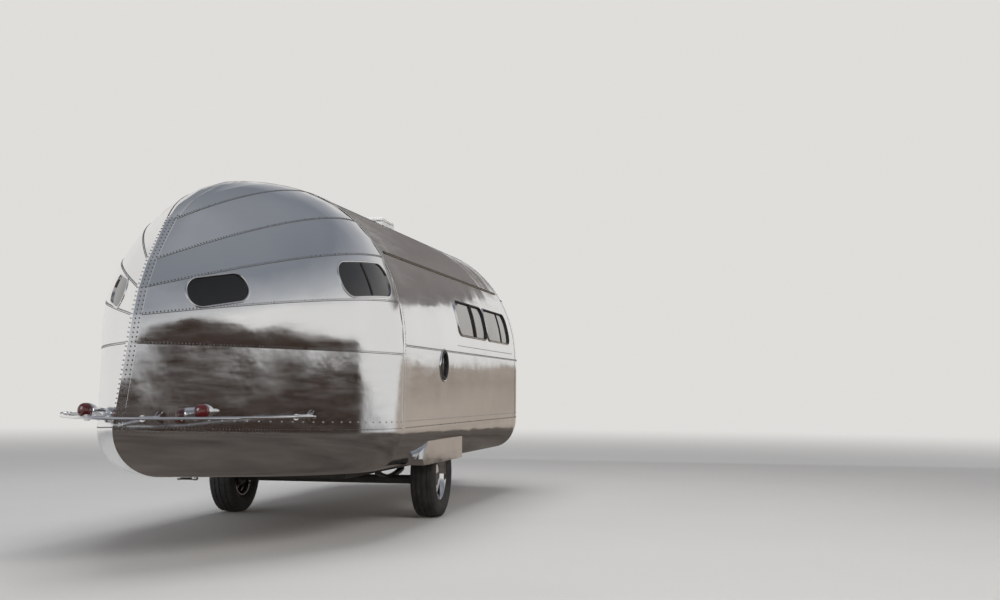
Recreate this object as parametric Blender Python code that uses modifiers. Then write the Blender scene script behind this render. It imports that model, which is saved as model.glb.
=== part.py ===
"""A travel caravan: a riveted aluminium trailer with a pointed boat tail, on one axle.

Units are metres. +X runs forward to the tow coupler, +Y to the left and +Z up. Lengths along X are
measured from the axle, and one empty shifts the whole so that the origin is on the ground under the
middle of the overall length.
"""

import math

import bmesh
import bpy
from mathutils import Matrix, Vector

PART = "travel_caravan"

# Clearances
SEAT_GAP = 0.0003
RUN_GAP = 0.006
OVERRUN = 0.06
SHAPER_DEEP = 0.25
MERGE = 0.0001

# Body section: upright sides, a half ellipse above the belt and a quarter ellipse below the chine
HALF_WIDTH = 1.015
CROWN_Z = 2.497
BELT_Z = 1.34
CHINE_Z = 0.75
HULL_Z = 0.457
HULL_ROUND_WIDE = 0.215
HULL_FLAT_HALF = HALF_WIDTH - HULL_ROUND_WIDE
WALL = 0.035
SKIN_BAND = 0.004

# Lengths from the axle
RIB_BACK = 1.54
TAIL_BACK = 3.86
NOSE_START = 2.87
NOSE_FRONT = 3.62
CROWN_END = 3.15
DOOR_BOTTOM_Z = 0.775
DOOR_TOP_Z = 1.98
KNEE_BELOW_DOOR_TOP = 0.08
STEM_KNEE_Z = DOOR_TOP_Z - KNEE_BELOW_DOOR_TOP

# The keel under the tail and under the nose, where the bottom has swept up to meet the stem
TAIL_STEM_Z = 0.80
TAIL_KEEL_BACK = 3.15
TAIL_KEEL_Z = 0.50
NOSE_KEEL_FRONT = 3.10
NOSE_KEEL_Z = 0.50

# How the panels close in from the rib to the tail's spine, and from the nose's start to its stem
TAIL_RISE_POWER = 1.85
SPINE_INSET_SHARE = 1.4
CHINE_PLAN_POWER = 1.65
ROOF_PLAN_POWER = 1.90
NOSE_ROUND_POWER = 0.85

# Each seam of the tail: its height on the rib, and where it meets the spine, as shares of the
# height from chine to crown and of the length from rib to tail end.
# Columns: rib height share, spine back share, spine height share, and rows in the band above it.
TAIL_SEAM_SHARES = (
    (0.000, 1.000, 0.029, 3),
    (0.301, 0.931, 0.303, 2),
    (0.512, 0.910, 0.393, 2),
    (0.697, 0.883, 0.483, 2),
    (0.846, 0.839, 0.577, 2),
    (0.962, 0.746, 0.721, 2),
    (0.988, 0.670, 0.799, 1),
    (0.997, 0.533, 0.879, 1),
    (1.000, 0.361, 0.945, 0),
)
TAIL_STEPS = 10
NOSE_STEPS = 8
ARCH_STEPS = 12
SIDE_STEPS = 2
HULL_STEPS = 5
KNEE_ARCH_SHARE = 0.45

# Riveted bands on the outside
RIB_BAND_WIDE = 0.060
SPINE_BAND_SHARE = 0.20

# Deck
DECK_THICK = 0.036
WHEEL_BOX_HALF_LONG = 0.43
WHEEL_BOX_WALL = 0.012
ARCH_RIM = 0.020

# Wheels
TYRE_RADIUS = 0.344
TYRE_WIDE = 0.205
WHEEL_INSET = 0.165
TRACK = 2 * (HALF_WIDTH - WHEEL_INSET)
WHEEL_BOX_CLEAR = 0.0425
WHEEL_BOX_INNER_Y = TRACK / 2 - TYRE_WIDE / 2 - WHEEL_BOX_CLEAR
RIM_RADIUS = 0.203
RIM_WIDE = 0.150
BEAD_GAP = 0.0005
RIM_WELL_DEEP = 0.020
RIM_THICK = 0.008
RIM_FLANGE_LONG = 0.014
DISC_THICK = 0.012
DISC_OUT = 0.030
HUBCAP_RADIUS = 0.105
HUBCAP_OUT = 0.028
DRUM_RADIUS = 0.125
DRUM_WIDE = 0.070
SPINDLE_RADIUS = 0.022
HUB_THICK = 0.015
WHEEL_STEPS = 28
# Columns: share of the height from bead to tread, share of half the width
TYRE_SECTION_SHARES = ((0.0, 0.66), (0.14, 0.80), (0.42, 1.0), (0.79, 0.93), (0.957, 0.72), (1.0, 0.40))
# Columns: share of the hubcap's radius, share of how far its crown stands out
HUBCAP_SHARES = ((0.55, 0.85), (0.90, 0.30))

# Axle and leaf springs
AXLE_Z = 0.300
AXLE_RADIUS = 0.036
BACKPLATE_RADIUS = 0.115
BACKPLATE_THICK = 0.012
LEAF_WIDE = 0.050
LEAF_THICK = 0.022
LEAF_HALF_LONG = 0.36

# Chassis
RAIL_Y = 0.50
RAIL_WIDE = 0.050
RAIL_TALL = 0.076
RAIL_BACK = 1.30
RAIL_FRONT = 2.30
TONGUE_FRONT = 4.22
CROSS_MEMBERS_SHARE = (0.0, 0.24, 0.56, 1.0)

# Coupler and jack
COUPLER_LONG = 0.26
COUPLER_HEAD_RADIUS = 0.038
COUPLER_HEAD_DROP = 0.014
COUPLER_HEAD_TALL = 0.052
COUPLER_DOME_TALL = 0.018
COUPLER_DOME_SHARE = 0.62
COUPLER_NECK_WIDE = 0.050
COUPLER_NECK_TALL = 0.048
COUPLER_FLANGE_WIDE = 0.076
COUPLER_FLANGE_THICK = 0.008
LATCH_BACK = 0.175
LATCH_LONG = 0.120
LATCH_WIDE = 0.018
LATCH_RISE = 0.030
LATCH_THICK = 0.010
BALL_SOCKET_RADIUS = 0.0265
BALL_SOCKET_DEEP = 0.057
JACK_FROM_AXLE = 3.98
JACK_RADIUS = 0.030
JACK_BELOW_DOOR = 0.035
JACK_TOP_Z = DOOR_BOTTOM_Z - JACK_BELOW_DOOR
JACK_FOOT_RADIUS = 0.085
JACK_FOOT_THICK = 0.012
JACK_COLLAR_RADIUS = 0.052
JACK_HEAD_TALL = 0.085
JACK_HEAD_HALF_LONG = 0.038
JACK_HEAD_HALF_WIDE = 0.034
CRANK_RADIUS = 0.007
CRANK_SHAFT_BELOW_TOP = 0.040
CRANK_OUT = 0.085
CRANK_ARM = 0.150
CRANK_GRIP_RADIUS = 0.012
CRANK_GRIP_LONG = 0.095

# Door in the nose
DOOR_HALF_WIDE = 0.31
DOOR_CORNER = 0.10
DOOR_GAP = 0.009
DOOR_REACH = 0.30
KNUCKLE_RADIUS = 0.009
KNUCKLE_TALL = 0.036
KNUCKLE_CLEAR = 0.0015
LUG_REACH = 0.036
LUG_EDGE = 0.001
HINGE_HEIGHT_SHARES = (0.14, 0.50, 0.86)
DOOR_WINDOW_BELOW_TOP = 0.32
DOOR_WINDOW_Z = DOOR_TOP_Z - DOOR_WINDOW_BELOW_TOP
DOOR_WINDOW_HALF_WIDE = 0.17
DOOR_WINDOW_HALF_TALL = 0.17
DOOR_WINDOW_CORNER = 0.08
HANDLE_ABOVE_SILL = 0.445
HANDLE_Z = DOOR_BOTTOM_Z + HANDLE_ABOVE_SILL
HANDLE_LONG = 0.16
HANDLE_RADIUS = 0.009
HANDLE_STAND = 0.035
HANDLE_IN = 0.055
HANDLE_POST_SHARE = 0.80

# Windows, one of each on both sides of the body. Sizes are half length, half height and corner
# radius.
GLASS_THICK = 0.006
GLASS_SINK = 0.006
WINDOW_REACH = 0.16
PROBE_SHARE = 0.01
# Columns: name, metres ahead of the axle, height, then sizes
SIDE_WINDOWS = (
    ("window_side_rear", 0.884, 1.648, 0.579, 0.150, 0.09),
    ("window_side_front", 2.046, 1.648, 0.542, 0.150, 0.09),
    ("porthole_round", -0.29, 1.230, 0.100, 0.100, 0.0999),
)
# Columns: name, height share on the rib, share of the way from rib to spine, then sizes
TAIL_WINDOWS = (
    ("porthole_tail", 0.607, 0.80, 0.212, 0.090, 0.088),
    ("window_slider", 0.600, 0.215, 0.340, 0.125, 0.110),
)
# Columns: name, height, share of the way from the nose's start to its stem, then sizes
NOSE_WINDOWS = (
    ("window_nose", 1.648, 0.42, 0.200, 0.150, 0.09),
)

# Roof vent
VENT_FORWARD = 0.90
VENT_HALF = 0.20
VENT_WALL = 0.018
VENT_DEEP = 0.10
VENT_RISE = 0.030
VENT_LID_THICK = 0.030
VENT_HINGE_OUT = 0.012
VENT_KNUCKLE_RADIUS = 0.006
VENT_KNUCKLE_LONG = 0.060

# Drip rail above the side windows
RAIL_TRIM_Z = 2.02
RAIL_TRIM_BACK = -1.40
RAIL_TRIM_FRONT = 2.75
TRIM_TALL = 0.022
TRIM_OUT = 0.006

# Bumper and tail lamps. Bumper arms: name, share of the blade's half length, reach forward
BUMPER_Z = 0.862
BUMPER_BACK = 3.965
BUMPER_HALF = 0.84
BUMPER_SWEEP = 1.06
BUMPER_POWER = 1.65
BUMPER_DEEP = 0.055
BUMPER_THICK = 0.016
BUMPER_TIP_SHARE = 0.12
BUMPER_STEPS = 12
BUMPER_ARMS = (("arm_inner", 0.20, 0.30), ("arm_outer", 0.90, 0.55))
BUMPER_ARM_RADIUS = 0.011
BUMPER_ARM_IN_SHARE = 0.95
LAMP_Y = 0.36
LAMP_BACK = 3.478
LAMP_Z = 0.897
LAMP_RADIUS = 0.043
LAMP_LONG = 0.30
LAMP_LENS_DEEP = 0.055
LAMP_STEPS = 16
# Columns: share of the lamp's length, share of its radius
LAMP_BODY_SHARES = ((0.0, 0.92), (0.03, 1.0), (0.11, 0.97), (0.24, 0.80), (0.36, 0.52), (0.44, 0.36),
                    (1.0, 0.34))
# Columns: share of the lens's depth, share of the lamp's radius
LAMP_LENS_SHARES = ((1.0, 0.0), (0.95, 0.36), (0.80, 0.70), (0.50, 0.98), (0.25, 1.02), (0.0, 0.88))

# Wheel fairings
FAIRING_BACK = 0.89
FAIRING_FRONT = 0.47
FAIRING_LOW_Z = 0.463
FAIRING_LIFT = 0.05
FAIRING_SLANT = 0.30
FAIRING_LAP = 0.08
FAIRING_INNER_Y = HULL_FLAT_HALF - FAIRING_LAP
FAIRING_WALL = 0.018
FAIRING_CLEAR = 0.0295
FAIRING_OUTER_Y = TRACK / 2 + TYRE_WIDE / 2 + FAIRING_CLEAR + FAIRING_WALL

# Tongue plate under the coupler and the jack, and the step plate behind it
TONGUE_PLATE_BACK = 3.915
TONGUE_PLATE_HALF = 0.11
TONGUE_PLATE_THICK = 0.010
STEP_PLATE_LONG = 0.110
STEP_PLATE_RISE = 0.003

SIDES = (("left", 1), ("right", -1))
TAIL_REACH = BUMPER_BACK
FRONT_REACH = TONGUE_FRONT + COUPLER_LONG


def rows_between(low, high, count):
    """The given number of values from low up to, and without, high."""
    return [low + (high - low) * i / count for i in range(count)]


def arch_half_width(z, grow=0.0):
    """Half the body's width at a height from the chine up."""
    if z <= BELT_Z:
        return HALF_WIDTH + grow
    rise = min(1.0, (z - BELT_Z) / (CROWN_Z + grow - BELT_Z))
    return (HALF_WIDTH + grow) * math.sqrt(1.0 - rise * rise)


def section_point(rise, grow=0.0):
    """(y, z) of the body section's left half, where rise is 0 at the chine, 1 at the belt, 2 on top."""
    if rise < 1:
        return HALF_WIDTH + grow, CHINE_Z + (BELT_Z - CHINE_Z) * rise
    angle = math.radians(90) * (rise - 1)
    y = (HALF_WIDTH + grow) * math.cos(angle) if rise < 2 else 0.0
    return y, BELT_Z + (CROWN_Z + grow - BELT_Z) * math.sin(angle)


def section_rises():
    """The rise of each row that the shells are made of."""
    return rows_between(0.0, 1.0, SIDE_STEPS) + rows_between(1.0, 2.0, ARCH_STEPS) + [2.0]


def stem_point(rise, grow=0.0):
    """(x, z) of the nose's stem, for the row that starts at this rise of the section."""
    if rise < 1:
        return NOSE_FRONT + grow, CHINE_Z + (BELT_Z - CHINE_Z) * rise
    share = rise - 1
    if share < KNEE_ARCH_SHARE:
        return NOSE_FRONT + grow, BELT_Z + (STEM_KNEE_Z - BELT_Z) * share / KNEE_ARCH_SHARE
    angle = math.radians(90) * (share - KNEE_ARCH_SHARE) / (1 - KNEE_ARCH_SHARE)
    x = CROWN_END + (NOSE_FRONT + grow - CROWN_END) * math.cos(angle)
    return x, STEM_KNEE_Z + (CROWN_Z + grow - STEM_KNEE_Z) * math.sin(angle)


def tail_row(rib_share, grow=0.0):
    """(rib y, rib z, spine x, spine z, plan power) of the tail's row at a height share on the rib."""
    tall = CROWN_Z + grow - CHINE_Z
    long = TAIL_BACK + SPINE_INSET_SHARE * grow - RIB_BACK
    for lower, upper in zip(TAIL_SEAM_SHARES, TAIL_SEAM_SHARES[1:]):
        if rib_share <= upper[0]:
            part = (rib_share - lower[0]) / (upper[0] - lower[0])
            back, height = (lower[k] + (upper[k] - lower[k]) * part for k in (1, 2))
            break
    z = CHINE_Z + tall * rib_share
    y = arch_half_width(z, grow) if rib_share < 1 else 0.0
    power = CHINE_PLAN_POWER + (ROOF_PLAN_POWER - CHINE_PLAN_POWER) * min(1.0, 2 * rib_share)
    return y, z, -RIB_BACK - long * back, CHINE_Z + tall * height, power


def hull_row(round_share, grow=0.0):
    """The hull's row at a share of the turn from the chine to its flat bottom.

    Gives (y, z), then x and z where the row ends under the tail and under the nose.
    """
    angle = math.radians(90) * round_share
    out = math.cos(angle) if round_share < 1 else 0.0
    down = math.sin(angle)
    _, _, tail_x, tail_z, _ = tail_row(0.0, grow)
    nose_x, _ = stem_point(0.0, grow)
    return (
        HULL_FLAT_HALF + (HALF_WIDTH + grow - HULL_FLAT_HALF) * out,
        CHINE_Z - (CHINE_Z - HULL_Z + grow) * down,
        -TAIL_KEEL_BACK + (tail_x + TAIL_KEEL_BACK) * out,
        tail_z - (tail_z - TAIL_KEEL_Z + grow) * down,
        NOSE_KEEL_FRONT + (nose_x - NOSE_KEEL_FRONT) * out,
        CHINE_Z - (CHINE_Z - NOSE_KEEL_Z + grow) * down,
    )


def tail_point(y, z, spine_x, spine_z, power, share):
    """A point of the tail, where share runs from 0 at the rib to 1 at the spine."""
    return Vector((
        -RIB_BACK + (spine_x + RIB_BACK) * share,
        y * (1.0 - share ** power),
        z + (spine_z - z) * share ** TAIL_RISE_POWER,
    ))


def nose_point(y, z, stem_x, stem_z, share):
    """A point of the nose, where share runs from 0 at the nose's start to 1 at its stem."""
    angle = math.radians(90) * share
    out = math.cos(angle) ** NOSE_ROUND_POWER if share < 1 else 0.0
    return Vector((
        NOSE_START + (stem_x - NOSE_START) * math.sin(angle) ** NOSE_ROUND_POWER,
        y * out,
        z + (stem_z - z) * math.sin(angle) ** 2,
    ))


def tail_rows(grow=0.0):
    """The tail's left half, from the chine to the crown: a row on each seam, and more between."""
    shares = []
    for lower, upper in zip(TAIL_SEAM_SHARES, TAIL_SEAM_SHARES[1:]):
        shares += rows_between(lower[0], upper[0], lower[3])
    return [[tail_point(*tail_row(rib_share, grow), 1.0 - step / TAIL_STEPS)
             for step in range(TAIL_STEPS + 1)] for rib_share in shares + [1.0]]


def body_rows(grow=0.0, start=None, end=None):
    """The left half of the straight body between the rib and the nose."""
    start = -RIB_BACK + SEAT_GAP if start is None else start
    end = NOSE_START - SEAT_GAP if end is None else end
    rows = []
    for rise in section_rises():
        y, z = section_point(rise, grow)
        rows.append([Vector((start, y, z)), Vector((end, y, z))])
    return rows


def nose_rows(grow=0.0):
    return [[nose_point(*section_point(rise, grow), *stem_point(rise, grow), step / NOSE_STEPS)
             for step in range(NOSE_STEPS + 1)] for rise in section_rises()]


def hull_rows(grow=0.0):
    """The left half of the lower hull, from the keel line up to the chine."""
    rows = []
    for step in range(HULL_STEPS + 1):
        y, z, tail_x, tail_z, nose_x, nose_z = hull_row(1.0 - step / HULL_STEPS, grow)
        tail = [tail_point(y, z, tail_x, tail_z, CHINE_PLAN_POWER, 1.0 - i / TAIL_STEPS)
                for i in range(TAIL_STEPS + 1)]
        nose = [nose_point(y, z, nose_x, nose_z, i / NOSE_STEPS) for i in range(NOSE_STEPS + 1)]
        rows.append(tail + nose)
    keel = [Vector((point.x, 0.0, point.z)) for point in rows[0]]
    return [keel] + rows


def clear_scene():
    for old in list(bpy.data.objects):
        bpy.data.objects.remove(old, do_unlink=True)


def new_collection(name):
    collection = bpy.data.collections.new(name)
    bpy.context.scene.collection.children.link(collection)
    return collection


def material(name, colour, rough, metal=0.0, see_through=0.0):
    made = bpy.data.materials.get(name)
    if made:
        return made
    made = bpy.data.materials.new(name)
    made.use_nodes = True
    shader = made.node_tree.nodes["Principled BSDF"]
    shader.inputs["Base Color"].default_value = (*colour, 1.0)
    shader.inputs["Roughness"].default_value = rough
    shader.inputs["Metallic"].default_value = metal
    shader.inputs["Transmission Weight"].default_value = see_through
    return made


def polished_aluminium():
    return material("polished_aluminium", (0.80, 0.81, 0.83), 0.12, 1.0)


def chrome():
    return material("chrome", (0.75, 0.75, 0.76), 0.06, 1.0)


def rubber():
    return material("tyre_rubber", (0.025, 0.025, 0.025), 0.8)


def frame_paint():
    return material("frame_paint", (0.03, 0.03, 0.032), 0.5)


def tinted_glass():
    return material("tinted_glass", (0.02, 0.022, 0.025), 0.05, 0.0, 0.5)


def red_lens():
    return material("red_lens", (0.28, 0.012, 0.012), 0.15)


def deck_wood():
    return material("deck_wood", (0.42, 0.30, 0.19), 0.6)


def matte_white():
    return material("vent_white", (0.75, 0.75, 0.73), 0.45)


def dark_trim():
    return material("dark_trim", (0.06, 0.05, 0.035), 0.4, 0.6)


def zinc():
    return material("zinc_plate", (0.55, 0.56, 0.57), 0.35, 1.0)


def made_object(name, bm, finish, parent, cutter=False):
    """An object from a bmesh, in the part's collection or, as a helper, in the cutters'."""
    bmesh.ops.remove_doubles(bm, verts=bm.verts, dist=MERGE)
    bmesh.ops.recalc_face_normals(bm, faces=bm.faces)
    mesh = bpy.data.meshes.new(name)
    bm.to_mesh(mesh)
    bm.free()
    made = bpy.data.objects.new(name, mesh)
    place(made, finish, parent, cutter)
    return made


def place(made, finish, parent, cutter=False):
    for old in list(made.users_collection):
        old.objects.unlink(made)
    bpy.data.collections["cutters" if cutter else PART].objects.link(made)
    if parent:
        made.parent = parent
    if cutter:
        made.hide_render = True
        made.display_type = "WIRE"
    else:
        made.data.materials.clear()
        made.data.materials.append(finish)


def boolean(made, other, operation="DIFFERENCE"):
    modifier = made.modifiers.new(operation.title() + " " + other.name, "BOOLEAN")
    modifier.operation = operation
    modifier.object = other
    return modifier


def grid_faces(bm, rows):
    """Facets between rows of points. The rows climb and run forward, on the body's left side."""
    made = [[bm.verts.new(point) for point in row] for row in rows]
    for low, high in zip(made, made[1:]):
        for i in range(len(low) - 1):
            bm.faces.new((low[i + 1], low[i], high[i]))
            bm.faces.new((low[i + 1], high[i], high[i + 1]))
    return made


def strip_faces(bm, outer, inner):
    """Quads across a wall's edge, between a line outside it and one inside."""
    for i in range(len(outer) - 1):
        bm.faces.new((outer[i], outer[i + 1], inner[i + 1], inner[i]))


def walled(name, outer_rows, inner_rows, finish, parent, cutter=False, halves=2):
    """A wall between two grids of the left half: both halves in one, or one half by itself.

    A half by itself is closed on the middle plane, off it by half the seat gap, and is turned to
    the right side where halves is -1.
    """
    bm = bmesh.new()
    off = 0.0 if halves == 2 else SEAT_GAP / 2
    outer_rows, inner_rows = ([[Vector((p.x, max(p.y, off), p.z)) for p in row] for row in rows]
                              for rows in (outer_rows, inner_rows))
    outer = grid_faces(bm, outer_rows)
    inner = grid_faces(bm, inner_rows)
    edges = [(outer[0], inner[0]), (outer[-1], inner[-1])]
    edges += [([row[k] for row in outer], [row[k] for row in inner]) for k in (0, -1)]
    for outer_line, inner_line in edges:
        on_plane = all(vert.co.y <= SEAT_GAP for vert in outer_line + inner_line)
        if halves == 2 and on_plane:
            continue
        strip_faces(bm, outer_line, inner_line)
    if halves == -1:
        bmesh.ops.scale(bm, vec=(1, -1, 1), verts=bm.verts)
    if halves == 2:
        add_mirror_image(bm)
    return made_object(name, bm, finish, parent, cutter)


def add_mirror_image(bm):
    """Adds the right half. A facet that lies in the middle plane would be in both, so it goes."""
    flat = [face for face in bm.faces if max(vert.co.y for vert in face.verts) < MERGE]
    bmesh.ops.delete(bm, geom=flat, context="FACES_ONLY")
    other = bmesh.ops.duplicate(bm, geom=bm.verts[:] + bm.edges[:] + bm.faces[:])
    copies = [item for item in other["geom"] if isinstance(item, bmesh.types.BMVert)]
    bmesh.ops.scale(bm, vec=(1, -1, 1), verts=copies)


def filled(name, rows, finish, parent, cutter=True):
    """The space under a grid of the left half and its mirror image, level along the last row."""
    lid = [Vector((point.x, 0.0, point.z)) for point in rows[-1]]
    bm = bmesh.new()
    grid_faces(bm, rows + [lid])
    add_mirror_image(bm)
    return made_object(name, bm, finish, parent, cutter)


def box(name, low, high, finish, parent, cutter=False):
    bm = bmesh.new()
    bmesh.ops.create_cube(bm, size=1.0)
    for vert in bm.verts:
        vert.co = Vector(low[k] + (high[k] - low[k]) * (vert.co[k] + 0.5) for k in range(3))
    return made_object(name, bm, finish, parent, cutter)


def rod(name, start, end, radius, finish, parent, cutter=False, segments=20, end_radius=None):
    """A cylinder, or a cone where end_radius is given, between two points."""
    start, end = Vector(start), Vector(end)
    bm = bmesh.new()
    bmesh.ops.create_cone(bm, cap_ends=True, segments=segments, radius1=radius,
                          radius2=radius if end_radius is None else end_radius,
                          depth=(end - start).length)
    turn = (end - start).to_track_quat("Z", "Y").to_matrix().to_4x4()
    bmesh.ops.transform(bm, verts=bm.verts, matrix=Matrix.Translation((start + end) / 2) @ turn)
    return made_object(name, bm, finish, parent, cutter)


def rounded_outline(half_long, half_tall, corner, steps=6):
    """Points round a rectangle with round corners, anticlockwise."""
    points = []
    for turn, (side_x, side_y) in enumerate(((1, 1), (-1, 1), (-1, -1), (1, -1))):
        for step in range(steps + 1):
            angle = math.radians(90) * (turn + step / steps)
            points.append((side_x * (half_long - corner) + corner * math.cos(angle),
                           side_y * (half_tall - corner) + corner * math.sin(angle)))
    return points


def prism(name, outline, matrix, depth, parent, finish=None, cutter=True):
    """An outline in the matrix's XY plane, drawn out by depth to each side along its Z."""
    bm = bmesh.new()
    face = bm.faces.new([bm.verts.new((x, y, -depth)) for x, y in outline])
    made = bmesh.ops.extrude_face_region(bm, geom=[face])
    lift = [item for item in made["geom"] if isinstance(item, bmesh.types.BMVert)]
    bmesh.ops.translate(bm, verts=lift, vec=(0, 0, 2 * depth))
    bmesh.ops.transform(bm, verts=bm.verts, matrix=matrix)
    return made_object(name, bm, finish, parent, cutter)


def joined(made, others):
    """Unites the helpers with the object, one Boolean each."""
    for other in others:
        boolean(made, other, "UNION")
    return made


def turned(name, profile, finish, parent, steps=WHEEL_STEPS):
    """A profile of (radius, along) points turned about an axis, which starts as the parent's Y."""
    mesh = bpy.data.meshes.new(name)
    points = [(radius, 0.0, along) for radius, along in profile]
    mesh.from_pydata(points, [(i, (i + 1) % len(points)) for i in range(len(points))], [])
    made = bpy.data.objects.new(name, mesh)
    place(made, finish, parent)
    screw = made.modifiers.new("Screw", "SCREW")
    screw.axis = "Z"
    screw.steps = steps
    screw.render_steps = steps
    screw.use_merge_vertices = True
    screw.merge_threshold = MERGE
    screw.use_smooth_shade = True
    made.rotation_euler = (math.radians(-90), 0, 0)
    return made


# Body shells


def make_tail(root, cutters):
    """The two halves of the boat tail, which meet at the spine."""
    for side, sign in SIDES:
        shell = walled("tail_shell_" + side, short_of_rib(tail_rows()), short_of_rib(tail_rows(-WALL)),
                       polished_aluminium(), root, False, sign)
        for cutter in cutters:
            if cutter.name.endswith(side):
                boolean(shell, cutter)


def short_of_rib(rows):
    """The rows with their front ends held off the main body by the seat gap."""
    return [row[:-1] + [row[-1] - Vector((SEAT_GAP, 0, 0))] for row in rows]


def make_tail_shaper(root):
    """The tail's outside as a thick wall, a little larger, that shapes what sits on the tail."""
    return walled("cut_by_tail", tail_rows(2 * SEAT_GAP), tail_rows(-SHAPER_DEEP), None, root, True)


def make_spine_band(root, shaper):
    """The riveted strip over the joint of the two tail halves."""
    near, far = ([[row[0], row[0].lerp(row[1], SPINE_BAND_SHARE)] for row in tail_rows(grow)]
                 for grow in (-SKIN_BAND, SKIN_BAND))
    band = walled("spine_band", far, near, polished_aluminium(), root)
    boolean(band, shaper)


def make_rib_band(root):
    """The hoop that covers the joint between the tail and the main body."""
    start, end = -RIB_BACK + SEAT_GAP, -RIB_BACK + RIB_BAND_WIDE
    walled("rib_band", body_rows(SKIN_BAND, start, end), body_rows(SEAT_GAP, start, end),
           polished_aluminium(), root)


def make_main_shell(root, cutters):
    shell = walled("main_shell", body_rows(), body_rows(-WALL), polished_aluminium(), root)
    for cutter in cutters:
        boolean(shell, cutter)


def below_chine(rows):
    """The rows with their top held off the shells above by the seat gap."""
    return rows[:-1] + [[point - Vector((0, 0, SEAT_GAP)) for point in rows[-1]]]


def make_hull(root):
    """The lower hull, which runs under the whole body, with an arch for each wheel."""
    hull = walled("lower_hull", below_chine(hull_rows()), below_chine(hull_rows(-WALL)),
                  polished_aluminium(), root)
    for side, sign in SIDES:
        inner, outer = sign * WHEEL_BOX_INNER_Y, sign * (HALF_WIDTH + OVERRUN)
        arch = box("cut_arch_" + side, (-WHEEL_BOX_HALF_LONG, min(inner, outer), 0),
                   (WHEEL_BOX_HALF_LONG, max(inner, outer), CHINE_Z - ARCH_RIM), None, root, True)
        boolean(hull, arch)


def make_deck(root):
    """The floor on the hull's bottom, with a box over each wheel."""
    low = HULL_Z + WALL
    deck = box("floor_deck", (-TAIL_BACK, -HALF_WIDTH, HULL_Z), (NOSE_FRONT, HALF_WIDTH,
               low + DECK_THICK), deck_wood(), root)
    for side, sign in SIDES:
        half, inner, top = WHEEL_BOX_HALF_LONG, WHEEL_BOX_INNER_Y, CHINE_Z - ARCH_RIM
        y = sorted((sign * (inner - WHEEL_BOX_WALL), sign * HALF_WIDTH))
        case = box("join_wheel_box_" + side, (-half - WHEEL_BOX_WALL, y[0], low),
                   (half + WHEEL_BOX_WALL, y[1], top + WHEEL_BOX_WALL), None, root, True)
        y = sorted((sign * inner, sign * (HALF_WIDTH + OVERRUN)))
        hollow = box("cut_wheel_box_" + side, (-half, y[0], 0), (half, y[1], top), None, root, True)
        boolean(deck, case, "UNION")
        boolean(deck, hollow)
    room = filled("keep_deck_in_hull", below_chine(hull_rows(-WALL - SEAT_GAP)), None, root)
    boolean(deck, room, "INTERSECT")


def surface_frame(spot, forward, upward):
    """A matrix at a spot whose X runs forward along a surface and whose Z points out of it."""
    x = (forward - spot).normalized()
    z = x.cross(upward - spot).normalized()
    if z.dot(Vector((0, spot.y, 0))) < 0:
        z = -z
    y = z.cross(x)
    return Matrix.Translation(spot) @ Matrix((x, y, z)).transposed().to_4x4()


def mirrored(spot, sign):
    return Vector((spot.x, spot.y * sign, spot.z))


def tail_frame(rib_share, share, sign):
    step = PROBE_SHARE
    here, row = tail_point(*tail_row(rib_share), share), tail_row(rib_share + step)
    ahead = tail_point(*tail_row(rib_share), share - step)
    above = tail_point(*row, share)
    return surface_frame(*(mirrored(spot, sign) for spot in (here, ahead, above)))


def body_frame(along, height, sign):
    """On the side of the main body, at a height."""
    rise = height_to_rise(height)
    here = Vector((along, *section_point(rise)))
    above = Vector((along, *section_point(rise + PROBE_SHARE)))
    ahead = here + Vector((PROBE_SHARE, 0, 0))
    return surface_frame(*(mirrored(spot, sign) for spot in (here, ahead, above)))


def nose_frame(height, share, sign):
    step = PROBE_SHARE
    rise = height_to_rise(height)
    here = nose_point(*section_point(rise), *stem_point(rise), share)
    ahead = nose_point(*section_point(rise), *stem_point(rise), share + step)
    above = nose_point(*section_point(rise + step), *stem_point(rise + step), share)
    return surface_frame(*(mirrored(spot, sign) for spot in (here, ahead, above)))


def height_to_rise(height):
    if height < BELT_Z:
        return (height - CHINE_Z) / (BELT_Z - CHINE_Z)
    return 1.0 + math.asin((height - BELT_Z) / (CROWN_Z - BELT_Z)) / math.radians(90)


def make_windows(root, table, frame_of, rows_of):
    """One shell's window cutters, and a pane in each opening."""
    cutters = []
    for name, first, second, half_long, half_tall, corner in table:
        for side, sign in SIDES:
            out = frame_of(first, second, sign)
            outline = rounded_outline(half_long, half_tall, corner)
            cutters.append(prism(f"cut_{name}_{side}", outline, out, WINDOW_REACH, root))
            inner = rounded_outline(half_long - SEAT_GAP, half_tall - SEAT_GAP, corner - SEAT_GAP)
            keep = prism(f"keep_{name}_{side}", inner, out, WINDOW_REACH - SEAT_GAP, root)
            pane = walled(f"{name}_{side}", rows_of(-GLASS_SINK), rows_of(-GLASS_SINK - GLASS_THICK),
                          tinted_glass(), root)
            boolean(pane, keep, "INTERSECT")
    return cutters


# Entry door in the nose


def door_outline(inset):
    half_tall = (DOOR_TOP_Z - DOOR_BOTTOM_Z) / 2
    return rounded_outline(DOOR_HALF_WIDE - inset, half_tall - inset, DOOR_CORNER - inset)


def facing_forward(x, y, z):
    """A matrix whose XY plane stands across the body: X to the left, Y up, Z backwards."""
    return Matrix.Translation((x, y, z)) @ Matrix(((0, 0, -1), (1, 0, 0), (0, 1, 0))).to_4x4()


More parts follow.
